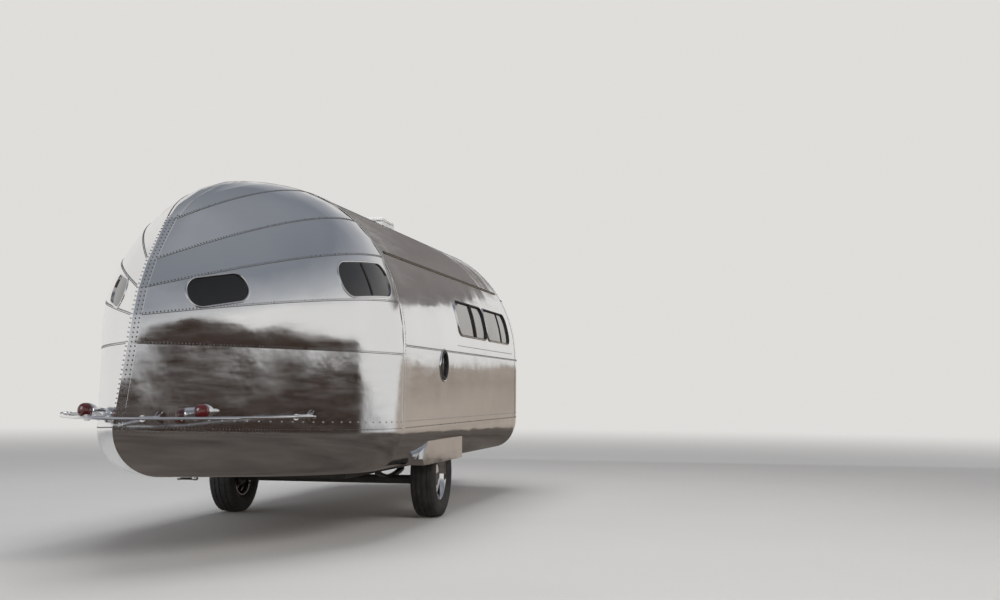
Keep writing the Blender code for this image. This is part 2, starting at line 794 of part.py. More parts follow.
def make_door(root):
    """The entry door with its window and handle, and the nose shell that it is cut from."""
    middle = facing_forward(NOSE_FRONT, 0, (DOOR_BOTTOM_Z + DOOR_TOP_Z) / 2)
    opening = prism("cut_door", door_outline(0), middle, DOOR_REACH, root)
    leaf_keep = prism("keep_door", door_outline(DOOR_GAP), middle, DOOR_REACH - DOOR_GAP, root)
    hinge_x = nose_side_x(DOOR_HALF_WIDE) + KNUCKLE_RADIUS + KNUCKLE_CLEAR
    hinge = bpy.data.objects.new("door_hinge", None)
    bpy.data.collections[PART].objects.link(hinge)
    hinge.parent = root
    hinge.location = (hinge_x, DOOR_HALF_WIDE, 0)
    spots = rounded_outline(DOOR_WINDOW_HALF_WIDE, DOOR_WINDOW_HALF_TALL, DOOR_WINDOW_CORNER)
    inner = rounded_outline(DOOR_WINDOW_HALF_WIDE - SEAT_GAP, DOOR_WINDOW_HALF_TALL - SEAT_GAP,
                            DOOR_WINDOW_CORNER - SEAT_GAP)
    look = facing_forward(NOSE_FRONT, 0, DOOR_WINDOW_Z)
    window_cut = prism("cut_door_window", spots, look, DOOR_REACH, root)
    window_keep = prism("keep_door_window", inner, look, DOOR_REACH - SEAT_GAP, root)
    leaf = walled("entry_door", nose_rows(), nose_rows(-WALL), polished_aluminium(), root)
    boolean(leaf, leaf_keep, "INTERSECT")
    boolean(leaf, window_cut)
    joined(leaf, hinge_knuckles(root, hinge_x, "leaf"))
    pane = walled("door_window", nose_rows(-GLASS_SINK), nose_rows(-GLASS_SINK - GLASS_THICK),
                  tinted_glass(), root)
    boolean(pane, window_keep, "INTERSECT")
    handle_y = -DOOR_HALF_WIDE + HANDLE_IN
    face_x = nose_side_x(handle_y)
    grip = rod("door_handle", (face_x + HANDLE_STAND, handle_y, HANDLE_Z - HANDLE_LONG / 2),
               (face_x + HANDLE_STAND, handle_y, HANDLE_Z + HANDLE_LONG / 2), HANDLE_RADIUS,
               chrome(), root)
    for end, height in (("low", HANDLE_Z - HANDLE_LONG / 3), ("high", HANDLE_Z + HANDLE_LONG / 3)):
        post = rod("join_handle_" + end, (face_x - WALL / 2, handle_y, height),
                   (face_x + HANDLE_STAND, handle_y, height), HANDLE_RADIUS * HANDLE_POST_SHARE,
                   None, root, True, 12)
        boolean(grip, post, "UNION")
    boolean(grip, walled("cut_handle_by_door", nose_rows(SEAT_GAP), nose_rows(-SHAPER_DEEP),
                         None, root, True))
    for piece in (leaf, pane, grip):
        piece.parent = hinge
        piece.matrix_parent_inverse = Matrix.Translation(-hinge.location)
    return opening, hinge_knuckles(root, hinge_x, "jamb")


def hinge_knuckles(root, hinge_x, carrier):
    """Helpers for the door's hinges: a knuckle and lug each, the leaf's between two of the jamb's."""
    made = []
    side = -1 if carrier == "leaf" else 1
    edge = DOOR_HALF_WIDE + (LUG_EDGE if carrier == "jamb" else -DOOR_GAP - LUG_EDGE)
    end = edge + side * LUG_REACH
    steps = (0,) if carrier == "leaf" else (-1, 1)
    for number, share in enumerate(HINGE_HEIGHT_SHARES):
        middle = DOOR_BOTTOM_Z + (DOOR_TOP_Z - DOOR_BOTTOM_Z) * share
        end_x, edge_x = (nose_side_x(y, middle) for y in (end, edge))
        outline = [(hinge_x + KNUCKLE_RADIUS / 2, DOOR_HALF_WIDE), (end_x + LUG_EDGE, end),
                   (end_x - WALL / 2, end), (edge_x - WALL / 2, edge), (edge_x + LUG_EDGE, edge),
                   (hinge_x - KNUCKLE_RADIUS / 2, DOOR_HALF_WIDE)]
        for step in steps:
            z = middle + step * (KNUCKLE_TALL + SEAT_GAP)
            name = f"{carrier}_{number}_{step + 1}"
            made.append(prism("join_lug_" + name, outline, Matrix.Translation((0, 0, z)),
                              KNUCKLE_TALL / 2, root))
            made.append(rod("join_knuckle_" + name, (hinge_x, DOOR_HALF_WIDE, z - KNUCKLE_TALL / 2),
                            (hinge_x, DOOR_HALF_WIDE, z + KNUCKLE_TALL / 2), KNUCKLE_RADIUS, None,
                            root, True, 10))
    return made


def nose_side_x(y, height=BELT_Z):
    """How far forward the nose's outside stands at a distance from the middle, up to the knee."""
    climb = max(0.0, height - BELT_Z) / (STEM_KNEE_Z - BELT_Z)
    wide = section_point(1 + KNEE_ARCH_SHARE * climb)[0]
    out = (abs(y) / wide) ** (1 / NOSE_ROUND_POWER)
    return NOSE_START + (NOSE_FRONT - NOSE_START) * (1 - out * out) ** (NOSE_ROUND_POWER / 2)


def make_nose(root, cutters, knuckles):
    nose = walled("nose_shell", nose_rows(), nose_rows(-WALL), polished_aluminium(), root)
    for cutter in cutters:
        boolean(nose, cutter)
    joined(nose, knuckles)


# Roof vent


def body_block(name, root, middle, half_long):
    """The main body's outside as a solid, larger by the seat gap, to shape what sits on it."""
    outline = [section_point(rise, SEAT_GAP) for rise in section_rises()]
    outline += [(-y, z) for y, z in reversed(outline[:-1])]
    return prism(name, outline, facing_forward(middle, 0, 0), half_long, root)


def make_roof_vent(root):
    """The vent's frame on the roof, and its lid, hinged along the front edge."""
    half, wall = VENT_HALF, VENT_WALL
    opening = box("cut_vent", (VENT_FORWARD - half + wall, -half + wall, CROWN_Z - VENT_DEEP),
                  (VENT_FORWARD + half - wall, half - wall, CROWN_Z + OVERRUN), None, root, True)
    base = box("vent_frame", (VENT_FORWARD - half, -half, CROWN_Z - VENT_DEEP),
               (VENT_FORWARD + half, half, CROWN_Z + VENT_RISE), matte_white(), root)
    boolean(base, opening)
    boolean(base, body_block("cut_vent_by_roof", root, VENT_FORWARD, half + OVERRUN))
    hinge = bpy.data.objects.new("vent_hinge", None)
    bpy.data.collections[PART].objects.link(hinge)
    hinge.parent = root
    top = CROWN_Z + VENT_RISE
    axis = Vector((VENT_FORWARD + half + VENT_HINGE_OUT, 0, top + RUN_GAP + VENT_KNUCKLE_RADIUS))
    hinge.location = axis
    lid = box("vent_lid", (-2 * half - VENT_HINGE_OUT, -half, -VENT_KNUCKLE_RADIUS),
              (-VENT_HINGE_OUT, half, VENT_LID_THICK - VENT_KNUCKLE_RADIUS), matte_white(), hinge)
    bevel = lid.modifiers.new("Bevel", "BEVEL")
    bevel.width = VENT_LID_THICK / 3
    bevel.segments = 2
    joined(lid, vent_knuckles(hinge, Vector((0, 0, 0)), "lid"))
    joined(base, vent_knuckles(root, axis, "frame"))
    return opening


def vent_knuckles(parent, axis, carrier):
    """Helpers for the vent's hinge: a knuckle on the lid's front edge between two of the frame's."""
    radius, out, thick = VENT_KNUCKLE_RADIUS, VENT_HINGE_OUT, VENT_WALL / 2
    low = -radius - RUN_GAP
    lid_lug = [(-out - thick, 0), (-out - thick, -radius), (0, -radius), (0, 0)]
    frame_lug = [(-out - thick, low - thick), (radius, low - thick), (radius, 0), (-radius, 0),
                 (-radius, low - SEAT_GAP), (-out - thick, low - SEAT_GAP)]
    stand = Matrix(((1, 0, 0), (0, 0, 1), (0, -1, 0))).transposed().to_4x4()
    made = []
    for step in ((0,) if carrier == "lid" else (-1, 1)):
        middle = axis + Vector((0, step * (VENT_KNUCKLE_LONG + SEAT_GAP), 0))
        half = Vector((0, VENT_KNUCKLE_LONG / 2, 0))
        name = f"{carrier}_{step + 1}"
        made.append(prism("join_vent_lug_" + name, lid_lug if carrier == "lid" else frame_lug,
                          Matrix.Translation(middle) @ stand, VENT_KNUCKLE_LONG / 2, parent))
        made.append(rod("join_vent_knuckle_" + name, middle - half, middle + half, radius, None,
                        parent, True, 12))
    return made


# Trim and lamps


def make_awning_rails(root):
    """A drip rail along each side above the windows, cut where it lies on the body."""
    along = (RAIL_TRIM_BACK + RAIL_TRIM_FRONT) / 2
    body = body_block("cut_rail_by_body", root, along, RAIL_TRIM_FRONT - along + OVERRUN)
    for side, sign in SIDES:
        spot = body_frame(0, RAIL_TRIM_Z, sign)
        middle = spot.translation + spot.to_3x3().col[2] * TRIM_OUT
        rail = rod("awning_rail_" + side, (RAIL_TRIM_BACK, middle.y, middle.z),
                   (RAIL_TRIM_FRONT, middle.y, middle.z), TRIM_TALL / 2, dark_trim(), root, False, 12)
        boolean(rail, body)


def make_bumper(root, shaper):
    """A thin blade swept round the tail, on four arms."""
    points = []
    for step in range(-BUMPER_STEPS, BUMPER_STEPS + 1):
        share = step / BUMPER_STEPS
        x = -BUMPER_BACK + BUMPER_SWEEP * abs(share) ** BUMPER_POWER
        points.append((x, BUMPER_HALF * share))
    inner = [(x + BUMPER_DEEP * max(BUMPER_TIP_SHARE, 1 - abs(y / BUMPER_HALF) ** 3), y)
             for x, y in points]
    blade = prism("bumper", points + inner[::-1], Matrix.Translation((0, 0, BUMPER_Z)),
                  BUMPER_THICK / 2, root, chrome(), False)
    for name, share, back in BUMPER_ARMS:
        for side, sign in SIDES:
            y = BUMPER_HALF * share
            x = -BUMPER_BACK + BUMPER_SWEEP * share ** BUMPER_POWER + BUMPER_DEEP / 2
            arm = rod(f"join_{name}_{side}", (x, sign * y, BUMPER_Z),
                      (x + back, sign * y * BUMPER_ARM_IN_SHARE, BUMPER_Z), BUMPER_ARM_RADIUS,
                      None, root, True, 12)
            boolean(blade, arm, "UNION")
    boolean(blade, shaper)


def make_tail_lamps(root, shaper):
    """At each side of the spine, a red ball lens on a bullet with a stalk to the body."""
    bullet = [(LAMP_RADIUS * wide, -LAMP_LONG * along) for along, wide in LAMP_BODY_SHARES]
    bullet = [(0.0, bullet[0][1]), *bullet, (0.0, bullet[-1][1])]
    ball = [(LAMP_RADIUS * wide, SEAT_GAP + (LAMP_LENS_DEEP - SEAT_GAP) * deep)
            for deep, wide in LAMP_LENS_SHARES]
    ball.append((0.0, ball[-1][1]))
    for side, sign in SIDES:
        housing = turned("lamp_housing_" + side, bullet, chrome(), root, LAMP_STEPS)
        lens = turned("lamp_lens_" + side, ball, red_lens(), root, LAMP_STEPS)
        for piece in (housing, lens):
            piece.location = (-LAMP_BACK, sign * LAMP_Y, LAMP_Z)
            piece.rotation_euler = (0, math.radians(-90), 0)
        boolean(housing, shaper)


# Running gear


def make_fairings(root):
    """A spat over the top of each wheel, outside the hull."""
    for side, sign in SIDES:
        outline = [(-FAIRING_BACK, FAIRING_LOW_Z + FAIRING_LIFT), (-FAIRING_BACK + FAIRING_LIFT,
                   FAIRING_LOW_Z), (FAIRING_FRONT, FAIRING_LOW_Z), (FAIRING_FRONT, CHINE_Z),
                   (-FAIRING_BACK + FAIRING_SLANT, CHINE_Z)]
        stand = Matrix.Rotation(math.radians(90), 4, "X")
        middle = sign * (FAIRING_INNER_Y + FAIRING_OUTER_Y) / 2
        spat = prism("wheel_fairing_" + side, outline, Matrix.Translation((0, middle, 0)) @ stand,
                     (FAIRING_OUTER_Y - FAIRING_INNER_Y) / 2, root, polished_aluminium(), False)
        near = hull_block("cut_fairing_by_hull_" + side, root)
        boolean(spat, near)
        y = sorted((0, sign * (FAIRING_OUTER_Y - FAIRING_WALL)))
        room = box("cut_fairing_room_" + side, (-WHEEL_BOX_HALF_LONG, y[0], 0),
                   (WHEEL_BOX_HALF_LONG - FAIRING_WALL, y[1], CHINE_Z - ARCH_RIM), None, root, True)
        boolean(spat, room)


def hull_block(name, root):
    """The main part of the lower hull's outside as a solid, a little larger."""
    outline = [hull_row(step / HULL_STEPS, SEAT_GAP)[:2] for step in range(HULL_STEPS + 1)]
    outline[0] = (outline[0][0], CHINE_Z + OVERRUN)
    outline += [(-y, z) for y, z in reversed(outline)]
    return prism(name, outline, facing_forward(0, 0, 0), RIB_BACK, root)


def make_wheels(root):
    """Each wheel turns on its spindle: tyre, rim with hubcap, and brake drum."""
    for side, sign in SIDES:
        spin = bpy.data.objects.new("wheel_axis_" + side, None)
        bpy.data.collections[PART].objects.link(spin)
        spin.parent = root
        spin.location = (0, sign * TRACK / 2, TYRE_RADIUS)
        turn = math.radians(-90 * sign)
        for name, profile, finish in (("tyre_", tyre_profile(), rubber()),
                                      ("rim_", rim_profile(), chrome()),
                                      ("drum_", drum_profile(), frame_paint())):
            made = turned(name + side, profile, finish, spin)
            made.rotation_euler = (turn, 0, 0)


def tyre_profile():
    """Points (radius, outward) round the tyre's section, from its outer bead."""
    bead = RIM_RADIUS + BEAD_GAP
    outer = [(bead + (TYRE_RADIUS - bead) * tall, TYRE_WIDE / 2 * wide)
             for tall, wide in TYRE_SECTION_SHARES]
    return outer + [(radius, -out) for radius, out in reversed(outer)]


def rim_profile():
    """Points (radius, outward) round the wheel: hubcap, disc, flange and well."""
    half, well, thick = RIM_WIDE / 2, RIM_RADIUS - RIM_WELL_DEEP, RIM_THICK
    flange = half - RIM_FLANGE_LONG
    return [
        (0.0, DISC_OUT + HUBCAP_OUT),
        *((HUBCAP_RADIUS * radius, DISC_OUT + HUBCAP_OUT * out) for radius, out in HUBCAP_SHARES),
        (HUBCAP_RADIUS, DISC_OUT), (well - 2 * thick, DISC_OUT - thick),
        (RIM_RADIUS - thick, half - thick), (RIM_RADIUS - thick / 3, half), (RIM_RADIUS, half),
        (RIM_RADIUS, flange), (well, half / 2), (well, -half / 2), (RIM_RADIUS, -flange),
        (RIM_RADIUS, -half), (RIM_RADIUS - thick, -half), (well - thick, -half / 2),
        (well - thick, DISC_OUT - 3 * thick), (DRUM_RADIUS, DISC_OUT - DISC_THICK),
        (0.0, DISC_OUT - DISC_THICK),
    ]


def drum_profile():
    """Points (radius, outward) round the brake drum, which is open behind for its spindle."""
    front = DISC_OUT - DISC_THICK - SEAT_GAP
    back = front - DRUM_WIDE
    bore = SPINDLE_RADIUS + SEAT_GAP
    return [(0.0, front), (DRUM_RADIUS, front), (DRUM_RADIUS, back), (bore, back),
            (bore, front - HUB_THICK), (0.0, front - HUB_THICK)]


def make_axle(root):
    """A straight drop axle with backing plates, spindles and a leaf spring at each rail."""
    plate_in = TRACK / 2 + DISC_OUT - DISC_THICK - DRUM_WIDE - RUN_GAP
    axle = rod("axle", (0, -plate_in + BACKPLATE_THICK / 2, AXLE_Z),
               (0, plate_in - BACKPLATE_THICK / 2, AXLE_Z), AXLE_RADIUS, frame_paint(), root)
    for side, sign in SIDES:
        centre = Vector((0, sign * (plate_in - BACKPLATE_THICK / 2), TYRE_RADIUS))
        half = Vector((0, BACKPLATE_THICK / 2, 0))
        plate = rod("join_backplate_" + side, centre - half, centre + half, BACKPLATE_RADIUS,
                    None, root, True, 32)
        tip = TRACK / 2 + DISC_OUT - DISC_THICK - HUB_THICK - 2 * SEAT_GAP
        spindle = rod("join_spindle_" + side, centre, (0, sign * tip, TYRE_RADIUS),
                      SPINDLE_RADIUS, None, root, True, WHEEL_STEPS)
        boolean(axle, plate, "UNION")
        boolean(axle, spindle, "UNION")
        top = HULL_Z - RAIL_TALL - SEAT_GAP
        spring = leaf_spring("join_spring_" + side, sign * RAIL_Y, top, root)
        boolean(axle, spring, "UNION")


def leaf_spring(name, y, top, root):
    """A sprung strip that bows down from both rail hangers to the axle."""
    low = AXLE_Z + AXLE_RADIUS - LEAF_THICK / 2
    upper, lower = [], []
    for step in range(-4, 5):
        share = step / 4
        z = low + (top - LEAF_THICK / 2 - SEAT_GAP - low) * share * share
        upper.append((LEAF_HALF_LONG * share, z + LEAF_THICK / 2))
        lower.append((LEAF_HALF_LONG * share, z - LEAF_THICK / 2))
    stand = Matrix.Translation((0, y, 0)) @ Matrix.Rotation(math.radians(90), 4, "X")
    return prism(name, lower + upper[::-1], stand, LEAF_WIDE / 2, root)


def make_chassis(root):
    """Two rails under the hull, cross members, and the rails of the tongue, which meet ahead."""
    low, high = HULL_Z - RAIL_TALL - SEAT_GAP, HULL_Z - 2 * SEAT_GAP
    half = RAIL_WIDE / 2
    frame = box("chassis_frame", (-RAIL_BACK, RAIL_Y - half, low),
                (RAIL_FRONT, RAIL_Y + half, high), frame_paint(), root)
    others = [box("join_rail_right", (-RAIL_BACK, -RAIL_Y - half, low),
                  (RAIL_FRONT, -RAIL_Y + half, high), None, root, True)]
    for i, share in enumerate(CROSS_MEMBERS_SHARE):
        x = -RAIL_BACK + RAIL_WIDE + (RAIL_FRONT + RAIL_BACK - 2 * RAIL_WIDE) * share
        others.append(box(f"join_cross_{i}", (x - half, -RAIL_Y, low + SEAT_GAP),
                          (x + half, RAIL_Y, high - SEAT_GAP), None, root, True))
    for side, sign in SIDES:
        outline = [(RAIL_FRONT - RAIL_WIDE, sign * (RAIL_Y + half)),
                   (RAIL_FRONT - RAIL_WIDE, sign * (RAIL_Y - half)),
                   (TONGUE_FRONT, -sign * half / 2), (TONGUE_FRONT, sign * half)]
        others.append(prism("join_tongue_" + side, outline,
                            Matrix.Translation((0, 0, (low + high) / 2)),
                            (high - low) / 2 - 2 * SEAT_GAP, root))
    plate = box("join_tongue_plate", (TONGUE_PLATE_BACK, -TONGUE_PLATE_HALF, high - 4 * SEAT_GAP),
                (TONGUE_FRONT, TONGUE_PLATE_HALF, high + TONGUE_PLATE_THICK), None, root, True)
    step = box("join_step_plate",
               (TONGUE_PLATE_BACK - STEP_PLATE_LONG, -TONGUE_PLATE_HALF, high - 4 * SEAT_GAP),
               (TONGUE_PLATE_BACK, TONGUE_PLATE_HALF, high + TONGUE_PLATE_THICK + STEP_PLATE_RISE),
               None, root, True)
    others += [plate, step]
    joined(frame, others)
    hole = rod("cut_jack_hole", (JACK_FROM_AXLE, 0, 0), (JACK_FROM_AXLE, 0, HULL_Z + OVERRUN),
               JACK_RADIUS + SEAT_GAP, None, root, True, 24)
    boolean(frame, hole)


def make_coupler(root):
    """The tow coupler on top of the tongue's end."""
    seat = HULL_Z + TONGUE_PLATE_THICK - SEAT_GAP
    back, ball = TONGUE_FRONT - COUPLER_LONG / 2, TONGUE_FRONT + COUPLER_LONG - COUPLER_HEAD_RADIUS
    low, high = seat - COUPLER_HEAD_DROP, seat + COUPLER_HEAD_TALL
    neck, flange = COUPLER_NECK_WIDE / 2, COUPLER_FLANGE_WIDE / 2
    body = box("tow_coupler", (back, -neck, seat), (ball, neck, seat + COUPLER_NECK_TALL), zinc(), root)
    latch = [(ball - LATCH_BACK, seat + COUPLER_NECK_TALL - LATCH_THICK),
             (ball - LATCH_BACK + LATCH_LONG, seat + COUPLER_NECK_TALL - LATCH_THICK),
             (ball - LATCH_BACK + LATCH_LONG, seat + COUPLER_NECK_TALL + LATCH_THICK),
             (ball - LATCH_BACK, seat + COUPLER_NECK_TALL + LATCH_RISE)]
    stand = Matrix.Rotation(math.radians(90), 4, "X")
    joined(body, [
        box("join_coupler_flange", (back, -flange, seat),
            (TONGUE_FRONT, flange, seat + COUPLER_FLANGE_THICK), None, root, True),
        rod("join_coupler_head", (ball, 0, low), (ball, 0, high), COUPLER_HEAD_RADIUS, None,
            root, True, 24),
        rod("join_coupler_dome", (ball, 0, high), (ball, 0, high + COUPLER_DOME_TALL),
            COUPLER_HEAD_RADIUS, None, root, True, 24, COUPLER_HEAD_RADIUS * COUPLER_DOME_SHARE),
        prism("join_coupler_latch", latch, stand, LATCH_WIDE / 2, root),
    ])
    socket = rod("cut_ball_socket", (ball, 0, low - OVERRUN), (ball, 0, low + BALL_SOCKET_DEEP),
                 BALL_SOCKET_RADIUS, None, root, True, 24)
    boolean(body, socket)


def make_jack(root):
    """The tongue jack: a leg with a foot, held in the tongue by a collar, and its crank."""
    jack = rod("tongue_jack", (JACK_FROM_AXLE, 0, JACK_FOOT_THICK / 2),
               (JACK_FROM_AXLE, 0, JACK_TOP_Z), JACK_RADIUS, zinc(), root, False, 24)
    foot = rod("join_jack_foot", (JACK_FROM_AXLE, 0, 0), (JACK_FROM_AXLE, 0, JACK_FOOT_THICK),
               JACK_FOOT_RADIUS, None, root, True, 24)
    seat = HULL_Z + TONGUE_PLATE_THICK
    collar = rod("join_jack_collar", (JACK_FROM_AXLE, 0, seat),
                 (JACK_FROM_AXLE, 0, seat + JACK_FOOT_THICK), JACK_COLLAR_RADIUS, None, root, True, 24)
    head = box("join_jack_head", (JACK_FROM_AXLE - JACK_HEAD_HALF_LONG, -JACK_HEAD_HALF_WIDE,
                                  JACK_TOP_Z - JACK_HEAD_TALL),
               (JACK_FROM_AXLE + JACK_HEAD_HALF_LONG, JACK_HEAD_HALF_WIDE, JACK_TOP_Z + SEAT_GAP),
               None, root, True)
    bevel = head.modifiers.new("Bevel", "BEVEL")
    bevel.width = JACK_HEAD_HALF_WIDE / 3
    bevel.segments = 1
    shaft = Vector((JACK_FROM_AXLE, 0, JACK_TOP_Z - CRANK_SHAFT_BELOW_TOP))
    out = Vector((0, -CRANK_OUT, 0))
    down = Vector((0, 0, -CRANK_ARM))
    bend = Vector((0, 0, CRANK_RADIUS))
    grip = Vector((0, -CRANK_GRIP_LONG, 0))
    crank = [
        rod("join_crank_shaft", shaft, shaft + out, CRANK_RADIUS, None, root, True, 10),
        rod("join_crank_arm", shaft + out + bend, shaft + out + down - bend, CRANK_RADIUS, None, root,
            True, 10),
        rod("join_crank_grip", shaft + out + down, shaft + out + down + grip, CRANK_GRIP_RADIUS, None,
            root, True, 12),
    ]
    joined(jack, [foot, collar, head, *crank])


def build():
    clear_scene()
    new_collection(PART)
    new_collection("cutters").hide_render = True
    root = bpy.data.objects.new("caravan", None)
    bpy.data.collections[PART].objects.link(root)
    root.location.x = (TAIL_REACH - FRONT_REACH) / 2
    make_tail(root, make_windows(root, TAIL_WINDOWS, tail_frame, tail_rows))
    tail_shaper = make_tail_shaper(root)
    make_spine_band(root, tail_shaper)
    make_rib_band(root)
    body_cuts = make_windows(root, SIDE_WINDOWS, body_frame, body_rows)
    body_cuts.append(make_roof_vent(root))
    make_main_shell(root, body_cuts)
    nose_cuts = make_windows(root, NOSE_WINDOWS, nose_frame, nose_rows)
    door_cut, knuckles = make_door(root)
    make_nose(root, nose_cuts + [door_cut], knuckles)
    make_hull(root)
    make_deck(root)
    make_awning_rails(root)
    make_bumper(root, tail_shaper)
    make_tail_lamps(root, tail_shaper)
    make_fairings(root)
    make_wheels(root)
    make_axle(root)
    make_chassis(root)
    make_coupler(root)
    make_jack(root)


build()
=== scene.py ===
"""The looks of a travel caravan: riveted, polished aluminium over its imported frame.

Lengths are metres. +X runs forward to the tow coupler, +Y to the left and +Z up. The body's sheets
are drawn from the same section, tail and nose formulas as the solids, with finer steps. Lengths
given as ahead of the axle are moved to the frame's origin by ahead().
"""

import math

import bmesh
import bpy
from mathutils import Matrix, Vector
from mathutils.geometry import delaunay_2d_cdt


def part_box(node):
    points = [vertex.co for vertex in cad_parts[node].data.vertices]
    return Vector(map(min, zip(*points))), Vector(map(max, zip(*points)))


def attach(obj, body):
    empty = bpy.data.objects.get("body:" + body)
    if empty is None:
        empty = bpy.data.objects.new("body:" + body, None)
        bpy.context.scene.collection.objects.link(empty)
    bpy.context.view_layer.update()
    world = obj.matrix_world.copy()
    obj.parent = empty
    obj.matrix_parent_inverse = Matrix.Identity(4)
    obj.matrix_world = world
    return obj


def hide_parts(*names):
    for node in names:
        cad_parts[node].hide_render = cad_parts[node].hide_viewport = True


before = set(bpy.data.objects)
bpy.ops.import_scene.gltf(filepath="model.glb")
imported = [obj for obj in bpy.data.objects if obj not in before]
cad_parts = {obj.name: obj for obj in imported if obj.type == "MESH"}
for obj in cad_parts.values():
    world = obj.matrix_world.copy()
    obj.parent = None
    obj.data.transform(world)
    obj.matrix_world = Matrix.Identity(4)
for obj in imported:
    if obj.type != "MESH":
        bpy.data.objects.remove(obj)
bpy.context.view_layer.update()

# Clearances
SEAT_GAP = 0.0003
WELD = 0.0001
# Half of the step in u or v that a normal is measured over
NORMAL_STEP = 0.0008

# Body, from the frame's boxes
SHELL_LOW, SHELL_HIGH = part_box("main_shell")
HALF_WIDTH, CROWN_Z, CHINE_Z = SHELL_HIGH.y, SHELL_HIGH.z, SHELL_LOW.z
RIB_X, NOSE_X = SHELL_LOW.x - SEAT_GAP, SHELL_HIGH.x + SEAT_GAP
BODY_LONG = NOSE_X - RIB_X
TAIL_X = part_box("tail_shell_left")[0].x
STEM_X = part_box("nose_shell")[1].x
HULL_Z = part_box("lower_hull")[0].z
AXLE_X = sum(corner.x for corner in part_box("tyre_left")) / 2
TYRE_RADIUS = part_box("tyre_left")[1].z / 2

# Body, from the solids' own design
BELT_Z = 1.34
HULL_FLAT_HALF = 0.80
WALL = 0.035
STEM_KNEE_Z = 1.90
TAIL_KEEL_Z = 0.50
NOSE_KEEL_Z = 0.50
TAIL_RISE_POWER = 1.85
SPINE_INSET_SHARE = 1.4
CHINE_PLAN_POWER = 1.65
ROOF_PLAN_POWER = 1.90
NOSE_ROUND_POWER = 0.85
KNEE_ARCH_SHARE = 0.45
# Columns: rib height share, spine back share, spine height share
TAIL_SEAM_SHARES = (
    (0.000, 1.000, 0.029), (0.301, 0.931, 0.303), (0.512, 0.910, 0.393), (0.697, 0.883, 0.483),
    (0.846, 0.839, 0.577), (0.962, 0.746, 0.721), (0.988, 0.670, 0.799), (0.997, 0.533, 0.879),
    (1.000, 0.361, 0.945),
)

# Windows. Sizes are half length, half height and corner radius
GLASS_SINK = 0.006
GLASS_THICK = 0.006
# Columns: name, metres ahead of the axle, height, then sizes
SIDE_WINDOWS = (
    ("window_side_rear", 0.884, 1.648, 0.579, 0.150, 0.09),
    ("window_side_front", 2.046, 1.648, 0.542, 0.150, 0.09),
    ("porthole_round", -0.29, 1.230, 0.100, 0.100, 0.0999),
)
# Columns: name, height share on the rib, share of the way from rib to spine, then sizes
TAIL_WINDOWS = (
    ("porthole_tail", 0.607, 0.80, 0.212, 0.090, 0.088),
    ("window_slider", 0.600, 0.215, 0.340, 0.125, 0.110),
)
# Columns: name, height, share of the way from the nose's start to its stem, then sizes
NOSE_WINDOWS = (
    ("window_nose", 1.648, 0.42, 0.200, 0.150, 0.09),
)

SIDES = (("left", 1), ("right", -1))


def ahead(length):
    """The frame's X of a length ahead of the axle."""
    return AXLE_X + length


TAIL_KEEL_X = ahead(-3.15)
NOSE_KEEL_X = ahead(3.10)
CROWN_END_X = ahead(3.15)


# Surfaces of the body's left side. Each takes (u, v, grow) and gives a point


def arch_half_width(z, grow=0.0):
    if z <= BELT_Z:
        return HALF_WIDTH + grow
    rise = min(1.0, (z - BELT_Z) / (CROWN_Z + grow - BELT_Z))
    return (HALF_WIDTH + grow) * math.sqrt(1.0 - rise * rise)


def section_point(rise, grow=0.0):
    """(y, z) of the body section, where rise is 0 at the chine, 1 at the belt and 2 on top."""
    if rise < 1:
        return HALF_WIDTH + grow, CHINE_Z + (BELT_Z - CHINE_Z) * rise
    angle = math.radians(90) * (rise - 1)
    y = (HALF_WIDTH + grow) * math.cos(angle) if rise < 2 else 0.0
    return y, BELT_Z + (CROWN_Z + grow - BELT_Z) * math.sin(angle)


def stem_point(rise, grow=0.0):
    """(x, z) of the nose's stem, for the row that starts at this rise of the section."""
    if rise < 1:
        return STEM_X + grow, CHINE_Z + (BELT_Z - CHINE_Z) * rise
    share = rise - 1
    if share < KNEE_ARCH_SHARE:
        return STEM_X + grow, BELT_Z + (STEM_KNEE_Z - BELT_Z) * share / KNEE_ARCH_SHARE
    angle = math.radians(90) * (share - KNEE_ARCH_SHARE) / (1 - KNEE_ARCH_SHARE)
    x = CROWN_END_X + (STEM_X + grow - CROWN_END_X) * math.cos(angle)
    return x, STEM_KNEE_Z + (CROWN_Z + grow - STEM_KNEE_Z) * math.sin(angle)


def tail_row(rib_share, grow=0.0):
    """(rib y, rib z, spine x, spine z, plan power) of the tail's row at a height share."""
    tall = CROWN_Z + grow - CHINE_Z
    long = RIB_X - TAIL_X + SPINE_INSET_SHARE * grow
    for lower, upper in zip(TAIL_SEAM_SHARES, TAIL_SEAM_SHARES[1:]):
        if rib_share <= upper[0]:
            part = (rib_share - lower[0]) / (upper[0] - lower[0])
            back, height = (lower[k] + (upper[k] - lower[k]) * part for k in (1, 2))
            break
    z = CHINE_Z + tall * rib_share
    y = arch_half_width(z, grow) if rib_share < 1 else 0.0
    power = CHINE_PLAN_POWER + (ROOF_PLAN_POWER - CHINE_PLAN_POWER) * min(1.0, 2 * rib_share)
    return y, z, RIB_X - long * back, CHINE_Z + tall * height, power


def tail_point(y, z, spine_x, spine_z, power, share):
    return Vector((
        RIB_X + (spine_x - RIB_X) * share,
        y * (1.0 - share ** power),
        z + (spine_z - z) * share ** TAIL_RISE_POWER,
    ))


def nose_point(y, z, stem_x, stem_z, share):
    angle = math.radians(90) * share
    out = math.cos(angle) ** NOSE_ROUND_POWER if share < 1 else 0.0
    return Vector((
        NOSE_X + (stem_x - NOSE_X) * math.sin(angle) ** NOSE_ROUND_POWER,
        y * out,
        z + (stem_z - z) * math.sin(angle) ** 2,
    ))


